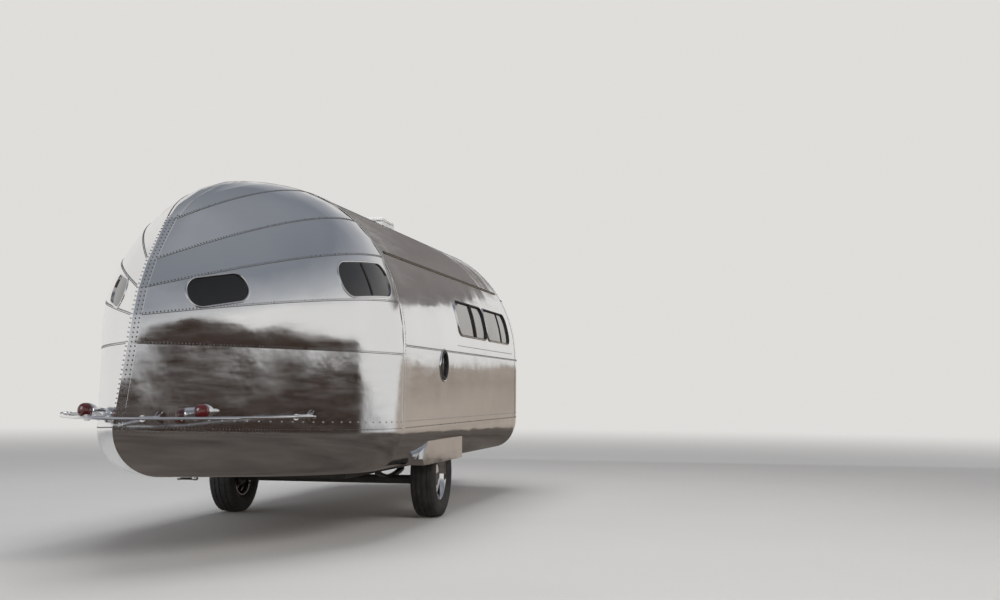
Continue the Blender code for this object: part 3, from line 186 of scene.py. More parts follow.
def tail_surface(u, v, grow=0.0):
    """u is the height share on the rib, v the share of the way from rib to spine."""
    return tail_point(*tail_row(min(max(u, 0.0), 1.0), grow), min(max(v, 0.0), 1.0))


def body_surface(u, v, grow=0.0):
    """u is the section's rise, v the share of the way from rib to nose."""
    y, z = section_point(u, grow)
    return Vector((RIB_X + BODY_LONG * v, y, z))


def nose_surface(u, v, grow=0.0):
    return nose_point(*section_point(u, grow), *stem_point(u, grow), v)


def hull_surface(u, v, grow=0.0):
    """u is 0 at the chine, 1 at the edge of the flat bottom and 2 on the keel line.

    v runs from -1 at the tail's end to 0 at the rib, 1 at the nose's start and 2 at the stem.
    """
    angle = math.radians(90) * min(u, 1.0)
    out = math.cos(angle) if u < 1 else 0.0
    down = math.sin(angle)
    _, _, tail_x, tail_z, _ = tail_row(0.0, grow)
    nose_x, _ = stem_point(0.0, grow)
    y = HULL_FLAT_HALF + (HALF_WIDTH + grow - HULL_FLAT_HALF) * out
    z = CHINE_Z - (CHINE_Z - HULL_Z + grow) * down
    if v <= 0:
        end_x = TAIL_KEEL_X + (tail_x - TAIL_KEEL_X) * out
        end_z = tail_z - (tail_z - TAIL_KEEL_Z + grow) * down
        point = tail_point(y, z, end_x, end_z, CHINE_PLAN_POWER, -v)
    elif v <= 1:
        point = Vector((RIB_X + BODY_LONG * v, y, z))
    else:
        end_x = NOSE_KEEL_X + (nose_x - NOSE_KEEL_X) * out
        end_z = CHINE_Z - (CHINE_Z - NOSE_KEEL_Z + grow) * down
        point = nose_point(y, z, end_x, end_z, v - 1)
    if u > 1:
        point.y *= 2 - u
    return point


def steps(low, high, count):
    """count + 1 values from low to high."""
    return [low + (high - low) * i / count for i in range(count + 1)]


def body_rise(height):
    """The section's rise at a height."""
    if height < BELT_Z:
        return (height - CHINE_Z) / (BELT_Z - CHINE_Z)
    return 1.0 + math.asin(min(1.0, (height - BELT_Z) / (CROWN_Z - BELT_Z))) / math.radians(90)


def tail_levels(low, high, count):
    """Height shares from low to high, evenly spaced round the section."""
    tall = CROWN_Z - CHINE_Z
    ends = [body_rise(CHINE_Z + tall * share) for share in (low, high)]
    levels = [(section_point(rise)[1] - CHINE_Z) / tall for rise in steps(*ends, count)]
    return [low] + levels[1:-1] + [high]


def outward(point, normal):
    """The normal turned away from the body's middle line."""
    core = Vector((min(max(point.x, RIB_X), NOSE_X), 0.0, BELT_Z))
    return normal if normal.dot(point - core) > 0 else -normal


def normal_at(surface, u, v, limits, grow=0.0):
    """The outward normal, from differences that stay inside the limits (u0, u1, v0, v1)."""
    u0, u1, v0, v1 = limits
    low, high = max(u - NORMAL_STEP, u0), min(u + NORMAL_STEP, u1)
    back, front = max(v - NORMAL_STEP, v0), min(v + NORMAL_STEP, v1)
    along_u = surface(high, v, grow) - surface(low, v, grow)
    along_v = surface(u, front, grow) - surface(u, back, grow)
    if along_v.length < 1e-9 or along_u.length < 1e-9:
        return Vector((0, 0, 1))
    return outward(surface(u, v, grow), along_u.cross(along_v).normalized())


def mirrored(point, sign):
    return Vector((point.x, point.y * sign, point.z))


# Layouts in (u, v): a plain grid, or one with holes and a kept outline


def inside(spot, outline):
    """Whether a (u, v) spot lies inside a closed outline."""
    x, y = spot
    found = False
    for (x0, y0), (x1, y1) in zip(outline, outline[1:] + outline[:1]):
        if (y0 > y) != (y1 > y) and x < x0 + (x1 - x0) * (y - y0) / (y1 - y0):
            found = not found
    return found


def grid_layout(us, vs, skip=None):
    """(spots, faces) of a grid of rows us and columns vs, without the cells that skip names."""
    spots = [(u, v) for u in us for v in vs]
    wide = len(vs)
    faces = []
    for i in range(len(us) - 1):
        for j in range(wide - 1):
            middle = ((us[i] + us[i + 1]) / 2, (vs[j] + vs[j + 1]) / 2)
            if skip and skip(*middle):
                continue
            faces.append((i * wide + j, i * wide + j + 1, (i + 1) * wide + j + 1, (i + 1) * wide + j))
    return spots, faces


def cut_layout(us, vs, scale, keep=None, holes=()):
    """(spots, faces) in triangles over a grid, kept inside one outline and out of the holes.

    The scale gives metres along u and v, so that the triangles come out well shaped. An outline may
    run past the grid's rim, where it is cut off.
    """
    outlines = list(holes) + ([keep] if keep else [])
    edge_spots = [spot for outline in outlines for spot in outline]
    clear = 0.5 * min((us[-1] - us[0]) / (len(us) - 1) * scale[0],
                      (vs[-1] - vs[0]) / (len(vs) - 1) * scale[1])
    spots = []
    for u in us:
        for v in vs:
            if any(inside((u, v), hole) for hole in holes) or (keep and not inside((u, v), keep)):
                continue
            on_rim = u in (us[0], us[-1]) or v in (vs[0], vs[-1])
            near = min(math.hypot((u - a) * scale[0], (v - b) * scale[1]) for a, b in edge_spots)
            if near < (WELD if on_rim and not keep else clear):
                continue
            spots.append((u, v))
    edges = []
    for outline in outlines:
        first = len(spots)
        spots += outline
        count = len(outline)
        edges += [(first + i, first + (i + 1) % count) for i in range(count)]
    corners = [(us[0], vs[0]), (us[-1], vs[0]), (us[-1], vs[-1]), (us[0], vs[-1])]
    first = len(spots)
    spots += corners
    edges += [(first + i, first + (i + 1) % 4) for i in range(4)]
    flat = [Vector((u * scale[0], v * scale[1])) for u, v in spots]
    made = delaunay_2d_cdt(flat, edges, [], 0, 1e-6)
    placed = [spots[origins[0]] if origins else (co.x / scale[0], co.y / scale[1])
              for co, origins in zip(made[0], made[3])]
    faces = []
    for face in made[2]:
        middle = tuple(sum(placed[i][k] for i in face) / len(face) for k in (0, 1))
        if not (us[0] < middle[0] < us[-1] and vs[0] < middle[1] < vs[-1]):
            continue
        if any(inside(middle, hole) for hole in holes) or (keep and not inside(middle, keep)):
            continue
        faces.append(tuple(face))
    return placed, faces


PLAIN_TONE = 0.5


class Skin:
    """A sheet or wall built from patches, with an outer and an inner surface that share a layout.

    Normals come from the surface itself, so that a cut leaves no mark in the reflections.
    """

    def __init__(self, outer_grow=0.0, inner_grow=-WALL):
        self.grows = (outer_grow, inner_grow)
        self.index = {}
        self.points = ([], [])
        self.faces = []
        self.normals = ([], [])
        self.tones = []

    def number(self, outer, inner):
        key = tuple(round(value / WELD) for value in outer)
        if key not in self.index:
            self.index[key] = len(self.points[0])
            self.points[0].append(outer)
            self.points[1].append(inner)
        return self.index[key]

    def add(self, surface, layout, limits, sign, tone=PLAIN_TONE):
        spots, faces = layout
        numbers, normals = {}, ({}, {})
        for k in {k for face in faces for k in face}:
            u, v = spots[k]
            numbers[k] = self.number(*(mirrored(surface(u, v, grow), sign) for grow in self.grows))
            for side, grow in enumerate(self.grows):
                normal = mirrored(normal_at(surface, u, v, limits, grow), sign)
                normals[side][k] = normal if side == 0 else -normal
        for face in faces:
            corners = [k for i, k in enumerate(face)
                       if numbers[k] != numbers[face[i - 1]]]
            if len(corners) < 3 or len({numbers[k] for k in corners}) < len(corners):
                continue
            a, b, c = (self.points[0][numbers[k]] for k in (corners[0], corners[1], corners[-1]))
            if (b - a).cross(c - a).dot(normals[0][corners[0]]) < 0:
                corners.reverse()
            self.faces.append([numbers[k] for k in corners])
            self.normals[0].append([normals[0][k] for k in corners])
            self.normals[1].append([normals[1][k] for k in corners])
            self.tones.append(tone(*spots[face[0]]) if callable(tone) else tone)

    def build(self, name, finishes, slot, body="caravan", stands_for=None):
        """The finishes are those of the outer surface, the inner one and the edges."""
        count = len(self.points[0])
        faces = [list(face) for face in self.faces]
        normals = [normal for face in self.normals[0] for normal in face]
        slots = [0] * len(faces)
        for face, face_normals in zip(self.faces, self.normals[1]):
            faces.append([k + count for k in reversed(face)])
            normals += list(reversed(face_normals))
            slots.append(1)
        used = {}
        for face in self.faces:
            for a, b in zip(face, face[1:] + face[:1]):
                used[(a, b)] = used.get((a, b), 0) + 1
        points = self.points[0] + self.points[1]
        for a, b in used:
            if (b, a) in used:
                continue
            wall = [b, a, a + count, b + count]
            flat = (points[a] - points[b]).cross(points[a + count] - points[b])
            faces.append(wall)
            normals += [flat.normalized() if flat.length > 0 else Vector((0, 0, 1))] * 4
            slots.append(2)
        mesh = bpy.data.meshes.new(name)
        mesh.from_pydata(points, [], faces)
        for finish in finishes:
            mesh.materials.append(FINISHES[finish])
        mesh.polygons.foreach_set("material_index", slots)
        mesh.polygons.foreach_set("use_smooth", [True] * len(faces))
        tone = mesh.attributes.new("tone", "FLOAT", "FACE")
        edges = len(faces) - 2 * len(self.tones)
        tone.data.foreach_set("value", self.tones * 2 + [PLAIN_TONE] * edges)
        mesh.normals_split_custom_set([tuple(normal) for normal in normals])
        place_piece(name, mesh, body, stands_for)


def new_object(name, mesh):
    made = bpy.data.objects.new(name, mesh)
    bpy.context.scene.collection.objects.link(made)
    return made


def place_piece(name, mesh, body="caravan", stands_for=None):
    """An object for a mesh, on its body and the node that it stands for."""
    made = new_object(name, mesh)
    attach(made, body)
    if stands_for:
        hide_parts(stands_for)


def mesh_from(name, bm, finish, sharp_angle=None):
    """The mesh of a bmesh, with its faces turned out and smoothed where a sharp angle is given."""
    if sharp_angle:
        bmesh.ops.recalc_face_normals(bm, faces=bm.faces)
    mesh = bpy.data.meshes.new(name)
    bm.to_mesh(mesh)
    bm.free()
    mesh.materials.append(finish)
    if sharp_angle:
        mesh.shade_smooth()
        mesh.set_sharp_from_angle(angle=math.radians(sharp_angle))
    return mesh


# Materials, kept by the short names that the pieces use

FINISHES = {}


def new_material(name, colour, rough, metal=0.0):
    made = bpy.data.materials.new(name)
    made.use_nodes = True
    shader = made.node_tree.nodes["Principled BSDF"]
    shader.inputs["Base Color"].default_value = (*colour, 1.0)
    shader.inputs["Roughness"].default_value = rough
    shader.inputs["Metallic"].default_value = metal
    return made, made.node_tree, shader


def node(tree, kind, **values):
    made = tree.nodes.new(kind)
    for key, value in values.items():
        if key in made.inputs:
            made.inputs[key].default_value = value
        else:
            setattr(made, key, value)
    return made


def noise(tree, scale, detail=2.0, rough=0.5, stretch=(1, 1, 1)):
    """A noise texture in the object's own metres."""
    place = node(tree, "ShaderNodeTexCoord")
    mapping = node(tree, "ShaderNodeMapping", Scale=stretch)
    tree.links.new(place.outputs["Object"], mapping.inputs["Vector"])
    made = node(tree, "ShaderNodeTexNoise", Scale=scale, Detail=detail, Roughness=rough)
    tree.links.new(mapping.outputs["Vector"], made.inputs["Vector"])
    return made.outputs["Fac"]


def waves(tree, scale, direction, profile):
    """Even bands across one of the object's own axes."""
    place = node(tree, "ShaderNodeTexCoord")
    made = node(tree, "ShaderNodeTexWave", Scale=scale, Distortion=0.0, wave_profile=profile,
                bands_direction=direction)
    tree.links.new(place.outputs["Object"], made.inputs["Vector"])
    return made.outputs["Fac"]


def remap(tree, value, low, high, start=0.0, end=1.0, **values):
    made = node(tree, "ShaderNodeMapRange", **values)
    for name, number in (("From Min", start), ("From Max", end), ("To Min", low), ("To Max", high)):
        made.inputs[name].default_value = number
    tree.links.new(value, made.inputs["Value"])
    return made.outputs["Result"]


def mix_colour(tree, factor, first, second):
    made = node(tree, "ShaderNodeMix", data_type="RGBA")
    for name, value in (("A", first), ("B", second)):
        socket = [item for item in made.inputs if item.name == name and item.type == "RGBA"][0]
        socket.default_value = (*value, 1.0)
    tree.links.new(factor, made.inputs[0])
    return [item for item in made.outputs if item.type == "RGBA"][0]


def mix_shaders(tree, factor, first, second):
    """The surface shows the second shader as far as the factor says, and else the first."""
    mix = node(tree, "ShaderNodeMixShader")
    for socket, value in zip(mix.inputs, (factor, first.outputs[0], second.outputs[0])):
        tree.links.new(value, socket)
    tree.links.new(mix.outputs[0], tree.nodes["Material Output"].inputs["Surface"])


def bump(tree, height, distance, under=None):
    made = node(tree, "ShaderNodeBump", Strength=1.0, Distance=distance)
    tree.links.new(height, made.inputs["Height"])
    if under:
        tree.links.new(under, made.inputs["Normal"])
    return made.outputs["Normal"]


DENT_DEEP, RIPPLE_DEEP = 0.011, 0.0008


def polished_aluminium():
    """Mirror-polished sheet: each panel a little unlike the next, soft dents and fine wiping marks."""
    made, tree, shader = new_material("polished_aluminium", (0.86, 0.87, 0.885), 0.10, 1.0)
    tone = node(tree, "ShaderNodeAttribute", attribute_name="tone")
    cloud = noise(tree, 1.3, 3.0)
    both = node(tree, "ShaderNodeMath", operation="ADD")
    tree.links.new(remap(tree, tone.outputs["Fac"], -0.5, 0.5), both.inputs[0])
    tree.links.new(remap(tree, cloud, -0.1, 1.1), both.inputs[1])
    colour = mix_colour(tree, both.outputs[0], (0.78, 0.79, 0.81), (0.91, 0.915, 0.92))
    tree.links.new(colour, shader.inputs["Base Color"])
    streak = noise(tree, 6.0, 5.0, 0.65, (0.35, 1.0, 3.0))
    tree.links.new(remap(tree, streak, 0.07, 0.17, 0.3, 0.7), shader.inputs["Roughness"])
    dents = noise(tree, 2.1, 1.5, 0.4, (1.0, 1.0, 0.8))
    ripples = noise(tree, 7.0, 2.0, 0.5)
    normal = bump(tree, ripples, RIPPLE_DEEP, bump(tree, dents, DENT_DEEP))
    tree.links.new(normal, shader.inputs["Normal"])
    return made


# Columns: short name, material, darkest and lightest colour, least and most roughness, metallic
# value, scale of the clouds, then scale, detail and depth of the grain
RUBBER = ((0.012, 0.012, 0.013), (0.032, 0.031, 0.030), (0.45, 0.72), 0.0, 14.0, (90.0, 3.0, 0.0004))
CLOUDY_FINISHES = (
    ("pale", "cabin_lining", (0.40, 0.365, 0.315), (0.52, 0.48, 0.42), (0.5, 0.65), 0.0, 3.0,
     (120.0, 3.0, 0.0004)),
    ("edge", "panel_edge", *RUBBER),
    ("rubber", "gasket_rubber", *RUBBER),
    ("chrome", "chrome", (0.74, 0.74, 0.75), (0.84, 0.84, 0.85), (0.03, 0.11), 1.0, 22.0),
    # The seam line's colour: partly sealant, partly painted shade where one sheet laps the next.
    ("sealant", "seam_sealant", (0.03, 0.028, 0.026), (0.10, 0.095, 0.09), (0.5, 0.7), 0.0, 30.0),
    ("rivet", "rivet_metal", (0.15, 0.15, 0.16), (0.34, 0.34, 0.35), (0.22, 0.40), 1.0, 40.0),
    ("mirror_glass", "mirror_glass", (0.21, 0.20, 0.19), (0.30, 0.285, 0.27), (0.03, 0.07), 0.9, 2.5,
     (3.0, 1.0, 0.004)),
    ("tyre", "tyre_rubber", (0.016, 0.016, 0.017), (0.045, 0.043, 0.040), (0.62, 0.88), 0.0, 9.0,
     (160.0, 4.0, 0.0005)),
    ("paint", "frame_paint", (0.018, 0.018, 0.019), (0.062, 0.057, 0.050), (0.38, 0.72), 0.0, 7.0,
     (70.0, 4.0, 0.0006)),
    ("rail", "drip_rail_bronze", (0.012, 0.010, 0.008), (0.030, 0.024, 0.017), (0.42, 0.60), 0.0, 30.0,
     (200.0, 2.0, 0.0002)),
    ("brass", "rail_edge_brass", (0.62, 0.47, 0.26), (0.78, 0.62, 0.38), (0.15, 0.32), 1.0, 30.0),
    ("zinc", "zinc_plate", (0.40, 0.41, 0.42), (0.62, 0.62, 0.61), (0.28, 0.50), 1.0, 18.0,
     (60.0, 3.0, 0.0003)),
    ("vent", "vent_white", (0.68, 0.68, 0.66), (0.80, 0.80, 0.78), (0.38, 0.55), 0.0, 12.0,
     (180.0, 3.0, 0.0003)),
)


def cloudy(name, dark, light, rough, metal, scale, grain=None, stretch=(1, 1, 1)):
    """A material whose colour and roughness drift between two ends, with a fine grain if asked."""
    made, tree, shader = new_material(name, dark, rough[0], metal)
    cloud = noise(tree, scale, 4.0, 0.6, stretch)
    colour = mix_colour(tree, remap(tree, cloud, 0.0, 1.0, 0.3, 0.7), dark, light)
    tree.links.new(colour, shader.inputs["Base Color"])
    tree.links.new(remap(tree, cloud, *rough, 0.3, 0.7), shader.inputs["Roughness"])
    if grain:
        tree.links.new(bump(tree, noise(tree, *grain[:2]), grain[2]), shader.inputs["Normal"])
    return made, tree, shader


def tinted_glass():
    made, _, shader = cloudy("tinted_glass", (0.010, 0.0105, 0.012), (0.018, 0.0185, 0.020),
                             (0.015, 0.05), 0.0, 2.0)
    shader.inputs["Transmission Weight"].default_value = 0.2
    shader.inputs["IOR"].default_value = 1.52
    shader.inputs["Specular IOR Level"].default_value = 0.45
    return made


def red_lens():
    """A clear-coated lens with fine moulded ribs."""
    made, tree, shader = cloudy("red_lens", (0.060, 0.003, 0.004), (0.100, 0.005, 0.006), (0.05, 0.12),
                                0.0, 30.0)
    shader.inputs["Coat Weight"].default_value = 0.7
    tree.links.new(bump(tree, waves(tree, 52.0, "X", "SIN"), 0.0006), shader.inputs["Normal"])
    return made


def deck_boards():
    """Boards that run lengthwise."""
    made, tree, shader = cloudy("deck_boards", (0.30, 0.20, 0.115), (0.47, 0.335, 0.21), (0.42, 0.62),
                                0.0, 5.0, None, (0.4, 6.0, 1.0))
    gaps = remap(tree, waves(tree, 1.35, "Y", "SAW"), 1.0, 0.0, 0.94, 1.0)
    tree.links.new(bump(tree, gaps, 0.002), shader.inputs["Normal"])
    return made


def blind_fabric():
    """A blind of level slats."""
    made, tree, shader = cloudy("blind_fabric", (0.20, 0.195, 0.185), (0.27, 0.262, 0.25),
                                (0.7, 0.85), 0.0, 30.0)
    tree.links.new(bump(tree, waves(tree, 9.0, "Z", "SAW"), 0.004), shader.inputs["Normal"])
    return made


def make_finishes():
    for key, *values in CLOUDY_FINISHES:
        FINISHES[key] = cloudy(*values)[0]
    FINISHES.update(metal=polished_aluminium(), tinted_glass=tinted_glass(), lens=red_lens(),
                    blind=blind_fabric(), boards=deck_boards())


# Camera, light and floor

# The photograph's view: low behind the right rear corner, with a moderate lens
CAMERA_PLACE = Vector((-10.884, -3.465, 1.030))
CAMERA_YAW, CAMERA_PITCH, CAMERA_ROLL = 0.1911, 0.0683, 0.0085
FOCAL_PIXELS, WIDE_PIXELS, SENSOR_MM = 1327.66, 1000, 36.0


def set_camera():
    yaw, pitch, roll = CAMERA_YAW, CAMERA_PITCH, CAMERA_ROLL
    look = Vector((math.cos(yaw) * math.cos(pitch), math.sin(yaw) * math.cos(pitch), math.sin(pitch)))
    right = Vector((math.sin(yaw), -math.cos(yaw), 0))
    up = right.cross(look)
    across = math.cos(roll) * right + math.sin(roll) * up
    above = -math.sin(roll) * right + math.cos(roll) * up
    data = bpy.data.cameras.new("photo_camera")
    data.sensor_width = SENSOR_MM
    data.lens = FOCAL_PIXELS * SENSOR_MM / WIDE_PIXELS
    data.clip_end = 500
    camera = new_object("photo_camera", data)
    turn = Matrix((across, above, -look)).transposed().to_4x4()
    camera.matrix_world = Matrix.Translation(CAMERA_PLACE) @ turn
    bpy.context.scene.camera = camera


HORIZON_COLOUR = (0.74, 0.728, 0.708)
# Columns: height of the direction from 0 to 1, colour
DOME_STOPS = (
    (0.00, HORIZON_COLOUR), (0.30, HORIZON_COLOUR), (0.44, (0.40, 0.41, 0.43)),
    (0.60, (0.20, 0.215, 0.245)), (0.86, (0.25, 0.265, 0.29)), (1.00, (0.42, 0.435, 0.46)),
)


def set_world():
    """A soft dome: pale at eye level, a cooler grey overhead."""
    world = bpy.data.worlds.new("studio")
    bpy.context.scene.world = world
    world.use_nodes = True
    tree = world.node_tree
    place = node(tree, "ShaderNodeTexCoord")
    split = node(tree, "ShaderNodeSeparateXYZ")
    tree.links.new(place.outputs["Generated"], split.inputs[0])
    ramp = node(tree, "ShaderNodeValToRGB")
    tree.links.new(split.outputs["Z"], ramp.inputs[0])
    elements = ramp.color_ramp.elements
    while len(elements) < len(DOME_STOPS):
        elements.new(0.5)
    for element, (spot, colour) in zip(elements, DOME_STOPS):
        element.position = spot
        element.color = (*colour, 1.0)
    tree.links.new(ramp.outputs["Color"], tree.nodes["Background"].inputs["Color"])


# Columns: name, place, aim, width, height, power, colour, whether polished metal shows it
SOFTBOXES = (
    ("key_softbox", (-7.5, -9.0, 7.5), (0.0, 0.0, 1.2), 7.0, 4.5, 620, (1.0, 0.97, 0.93), False),
    ("fill_softbox", (-12.0, 7.0, 5.0), (-2.0, 0.0, 1.2), 5.0, 5.0, 220, (0.93, 0.96, 1.0), True),
    ("top_softbox", (0.5, 0.0, 9.0), (0.5, 0.0, 0.0), 9.0, 5.0, 500, (1, 1, 1), False),
)


def add_softboxes():
    for name, place, aim, wide, tall, power, colour, glossy in SOFTBOXES:
        data = bpy.data.lights.new(name, "AREA")
        data.shape = "RECTANGLE"
        data.size, data.size_y = wide, tall
        data.energy = power
        data.color = colour
        lamp = new_object(name, data)
        lamp.location = place
        lamp.rotation_euler = (Vector(aim) - Vector(place)).to_track_quat("-Z", "Y").to_euler()
        lamp.visible_glossy = glossy


FLOOR_RADIUS = 160
FADE_START, FADE_END = 6.0, 27.0


def add_floor():
    """A pale floor that fades into the backdrop's colour far away."""
    bm = bmesh.new()
    bmesh.ops.create_circle(bm, cap_ends=True, segments=128, radius=FLOOR_RADIUS)
    made, tree, shader = new_material("studio_floor", (0.62, 0.61, 0.595), 0.6)
    shader.inputs["Specular IOR Level"].default_value = 0.2
    grain = mix_colour(tree, noise(tree, 0.6, 5.0, 0.6), (0.60, 0.59, 0.575), (0.645, 0.635, 0.62))
    tree.links.new(grain, shader.inputs["Base Color"])
    place = node(tree, "ShaderNodeNewGeometry")
    length = node(tree, "ShaderNodeVectorMath", operation="LENGTH")
    tree.links.new(place.outputs["Position"], length.inputs[0])
    far = remap(tree, length.outputs["Value"], 0.0, 1.0, FADE_START, FADE_END,
                interpolation_type="SMOOTHSTEP")
    glow = node(tree, "ShaderNodeEmission", Color=(*HORIZON_COLOUR, 1.0))
    mix_shaders(tree, far, shader, glow)
    new_object("studio_floor", mesh_from("studio_floor", bm, made))


# Cards that glow only in polished metal's reflections and are seen by no camera, lamp or shadow: painted
# reflections of dark ground, a warm band and a cool grey band.
FLAG_MIDDLE = Vector((-3.4, -0.5, 1.2))
FLAG_RADIUS = 12.0
# Columns: direction round the tail, foot and top edge of the card, in degrees
DARK_FLAG_EDGES = (
    (-44, -6, -2.5), (-50, -6, -1.0), (-53, -6, 1.0), (-58, -6, 1.2), (-64, -6, 2.1), (-70, -6, 3.0),
    (-76, -6, 5.0), (-82, -6, 7.6), (-88, -6, 10.4), (-94, -6, 15.0), (-98, -6, 18.5),
    (-102, -6, 21.0), (-108, -6, 22.0), (-114, -6, 14.0), (-122, -6, 8.0),
)
WARM_FLAG_EDGES = (
    (2, -6, 0.6), (-4, -6, 0.8), (-8, -6, 1.1), (-10, -6, 0.7), (-12, -6, 1.2), (-14, -6, 0.9),
    (-17, -6, 1.3), (-20, -6, 0.4), (-24, -6, -1.5), (-30, -6, -3.0),
)
COOL_FLAG_EDGES = (
    (28, 11.6, 18), (22, 11.4, 19), (10, 11.0, 20), (0, 10.6, 20), (-10, 10.2, 19), (-18, 10.8, 16),
    (-24, 11.2, 14),
)
# Columns: name, edges, darkest and lightest colour, scale, detail, roughness and stretch of its grain
FLAGS = (
    ("dark_flag", DARK_FLAG_EDGES, (0.020, 0.013, 0.010), (0.062, 0.043, 0.034),
     (1.6, 6.0, 0.65, (1, 1, 2.2))),
    ("warm_flag", WARM_FLAG_EDGES, (0.27, 0.225, 0.19), (0.46, 0.40, 0.34),
     (0.35, 4.0, 0.6, (1, 1, 3.0))),
    ("cool_flag", COOL_FLAG_EDGES, (0.16, 0.145, 0.14), (0.24, 0.22, 0.21),
     (0.35, 4.0, 0.6, (1, 1, 2.0))),
)
CLOTH_LOW, CLOTH_HIGH, CLOTH_Z = (-16.0, -11.5), (9.0, 1.1), 0.003


def add_card(name, columns, dark, light, grain, soft_ends=True):
    """A glowing card through columns of points: a painted reflection that only polished metal sees, with
    soft ends if asked.
    """
    bm = bmesh.new()
    shown = bm.verts.layers.float.new("shown")
    rows = []
    for number, column in enumerate(columns):
        rows.append([bm.verts.new(point) for point in column])
        for spot in rows[-1]:
            spot[shown] = float(not soft_ends or 0 < number < len(columns) - 1)
    for one, two in zip(rows, rows[1:]):
        bm.faces.new((one[0], two[0], two[1], one[1]))
    made, tree, _ = new_material(name, dark, 1.0)
    glow = node(tree, "ShaderNodeEmission")
    shade = mix_colour(tree, remap(tree, noise(tree, *grain), 0.0, 1.0, 0.3, 0.7), dark, light)
    tree.links.new(shade, glow.inputs["Color"])
    seen = node(tree, "ShaderNodeAttribute", attribute_name="shown")
    mix_shaders(tree, seen.outputs["Fac"], node(tree, "ShaderNodeBsdfTransparent"), glow)
    card = new_object(name, mesh_from(name, bm, made))
    card.visible_camera = card.visible_diffuse = card.visible_shadow = False


def set_stage():
    bpy.context.scene.view_settings.view_transform = "Standard"
    set_camera()
    set_world()
    add_softboxes()
    add_floor()
    for name, edges, *looks in FLAGS:
        columns = []
        for direction, *heights in edges:
            turn = math.radians(direction)
            out = FLAG_RADIUS * Vector((math.cos(turn), math.sin(turn), 0.0))
            columns.append([FLAG_MIDDLE + out + Vector((0, 0, FLAG_RADIUS * math.tan(math.radians(height))))
                            for height in heights])
        add_card(name, columns, *looks)
    # A dark card on the floor that only polished metal sees: a painted reflection of dark ground in the
    # hull and lower tail, darker than the pale floor around it.
    cloth = [[(x, CLOTH_LOW[1], CLOTH_Z), (x, CLOTH_HIGH[1], CLOTH_Z)]
             for x in (CLOTH_LOW[0], CLOTH_HIGH[0])]
    add_card("painted_reflection_floor_card", cloth, (0.055, 0.046, 0.040), (0.135, 0.118, 0.104), (0.7, 5.0, 0.6), False)


# Window outlines in each surface's (u, v)


def rounded_outline(half_long, half_tall, corner, arc_steps=9, pitch=0.03):
    """Points round a rectangle with round corners, with points along its straight sides too."""
    points = []
    for turn, (side_x, side_y) in enumerate(((1, 1), (-1, 1), (-1, -1), (1, -1))):
        for step in range(arc_steps + 1):
            angle = math.radians(90) * (turn + step / arc_steps)
            points.append((side_x * (half_long - corner) + corner * math.cos(angle),
                           side_y * (half_tall - corner) + corner * math.sin(angle)))
    dense = []
    for (x0, y0), (x1, y1) in zip(points, points[1:] + points[:1]):
        count = max(1, round(math.hypot(x1 - x0, y1 - y0) / pitch))
        dense += [(x0 + (x1 - x0) * i / count, y0 + (y1 - y0) * i / count) for i in range(count)]
    return [spot for i, spot in enumerate(dense) if math.dist(spot, dense[i - 1]) > WELD]


def surface_frame(surface, u, v, forward, limits):
    """A matrix on the surface: X along it towards forward, which is a step in v, and Z outward."""
    spot = surface(u, v)
    x = (surface(u, v + forward) - spot).normalized()
    z = normal_at(surface, u, v, limits)
    z = (z - x * z.dot(x)).normalized()
    return Matrix.Translation(spot) @ Matrix((x, z.cross(x), z)).transposed().to_4x4()


def onto_surface(surface, matrix, outline, start, limits):
    """The (u, v) of each outline point in the matrix's XY plane, found along the matrix's Z."""
    inverse = matrix.inverted()
    found = []
    u, v = start
    step = 0.0005
    for x, y in outline:
        for _ in range(14):
            here = inverse @ surface(u, v)
            up = (inverse @ surface(u + step, v) - here) / step
            on = (inverse @ surface(u, v + step) - here) / step
            miss = (x - here.x, y - here.y)
            span = up.x * on.y - up.y * on.x
            u += (miss[0] * on.y - miss[1] * on.x) / span
            v += (miss[1] * up.x - miss[0] * up.y) / span
            u = min(max(u, limits[0]), limits[1] - step)
            v = min(max(v, limits[2]), limits[3] - step)
        found.append((u, v))
    return found


WHOLE = (0.0, 2.0, 0.0, 1.0)
TAIL_WHOLE = (0.0, 1.0, 0.0, 1.0)
HULL_WHOLE = (0.0, 2.0, -1.0, 2.0)
FORWARD_STEP = 0.01


def body_share(length):
    """The share of the way from rib to nose of a length ahead of the axle."""
    return (ahead(length) - RIB_X) / BODY_LONG


def window_loops(inset=0.0):
    """Each window's outline by name: (surface, loop, limits), smaller by the inset."""
    places = [(name, body_surface, body_rise(height), body_share(along), FORWARD_STEP, WHOLE, sizes)
              for name, along, height, *sizes in SIDE_WINDOWS]
    places += [(name, tail_surface, u, v, -FORWARD_STEP, TAIL_WHOLE, sizes)
               for name, u, v, *sizes in TAIL_WINDOWS]
    places += [(name, nose_surface, body_rise(height), v, FORWARD_STEP, WHOLE, sizes)
               for name, height, v, *sizes in NOSE_WINDOWS]
    loops = {}
    for name, surface, u, v, forward, limits, sizes in places:
        matrix = surface_frame(surface, u, v, forward, limits)
        outline = rounded_outline(*(size - inset for size in sizes))
        loops[name] = (surface, onto_surface(surface, matrix, outline, (u, v), limits), limits)
    return loops


# Builders for lines of trim, rows of rivets and turned pieces


def on_circle(radius, count, tall=None):
    """A closed ring of points, or an oval with its own height."""
    turns = [math.radians(360) * k / count for k in range(count)]
    return [(radius * math.cos(turn), (tall or radius) * math.sin(turn)) for turn in turns]


def join_rings(bm, rings, closed=False, caps=True):
    """Faces from each ring of vertices to the next, with caps unless the row closes on itself."""
    wide = len(rings[0])
    for one, two in zip(rings, rings[1:] + rings[:1] if closed else rings[1:]):
        for k in range(wide):
            corners = dict.fromkeys((one[k], one[(k + 1) % wide], two[(k + 1) % wide], two[k]))
            if len(corners) > 2:
                bm.faces.new(tuple(corners))
    if caps and not closed:
        bm.faces.new(rings[0])
        bm.faces.new(rings[-1])


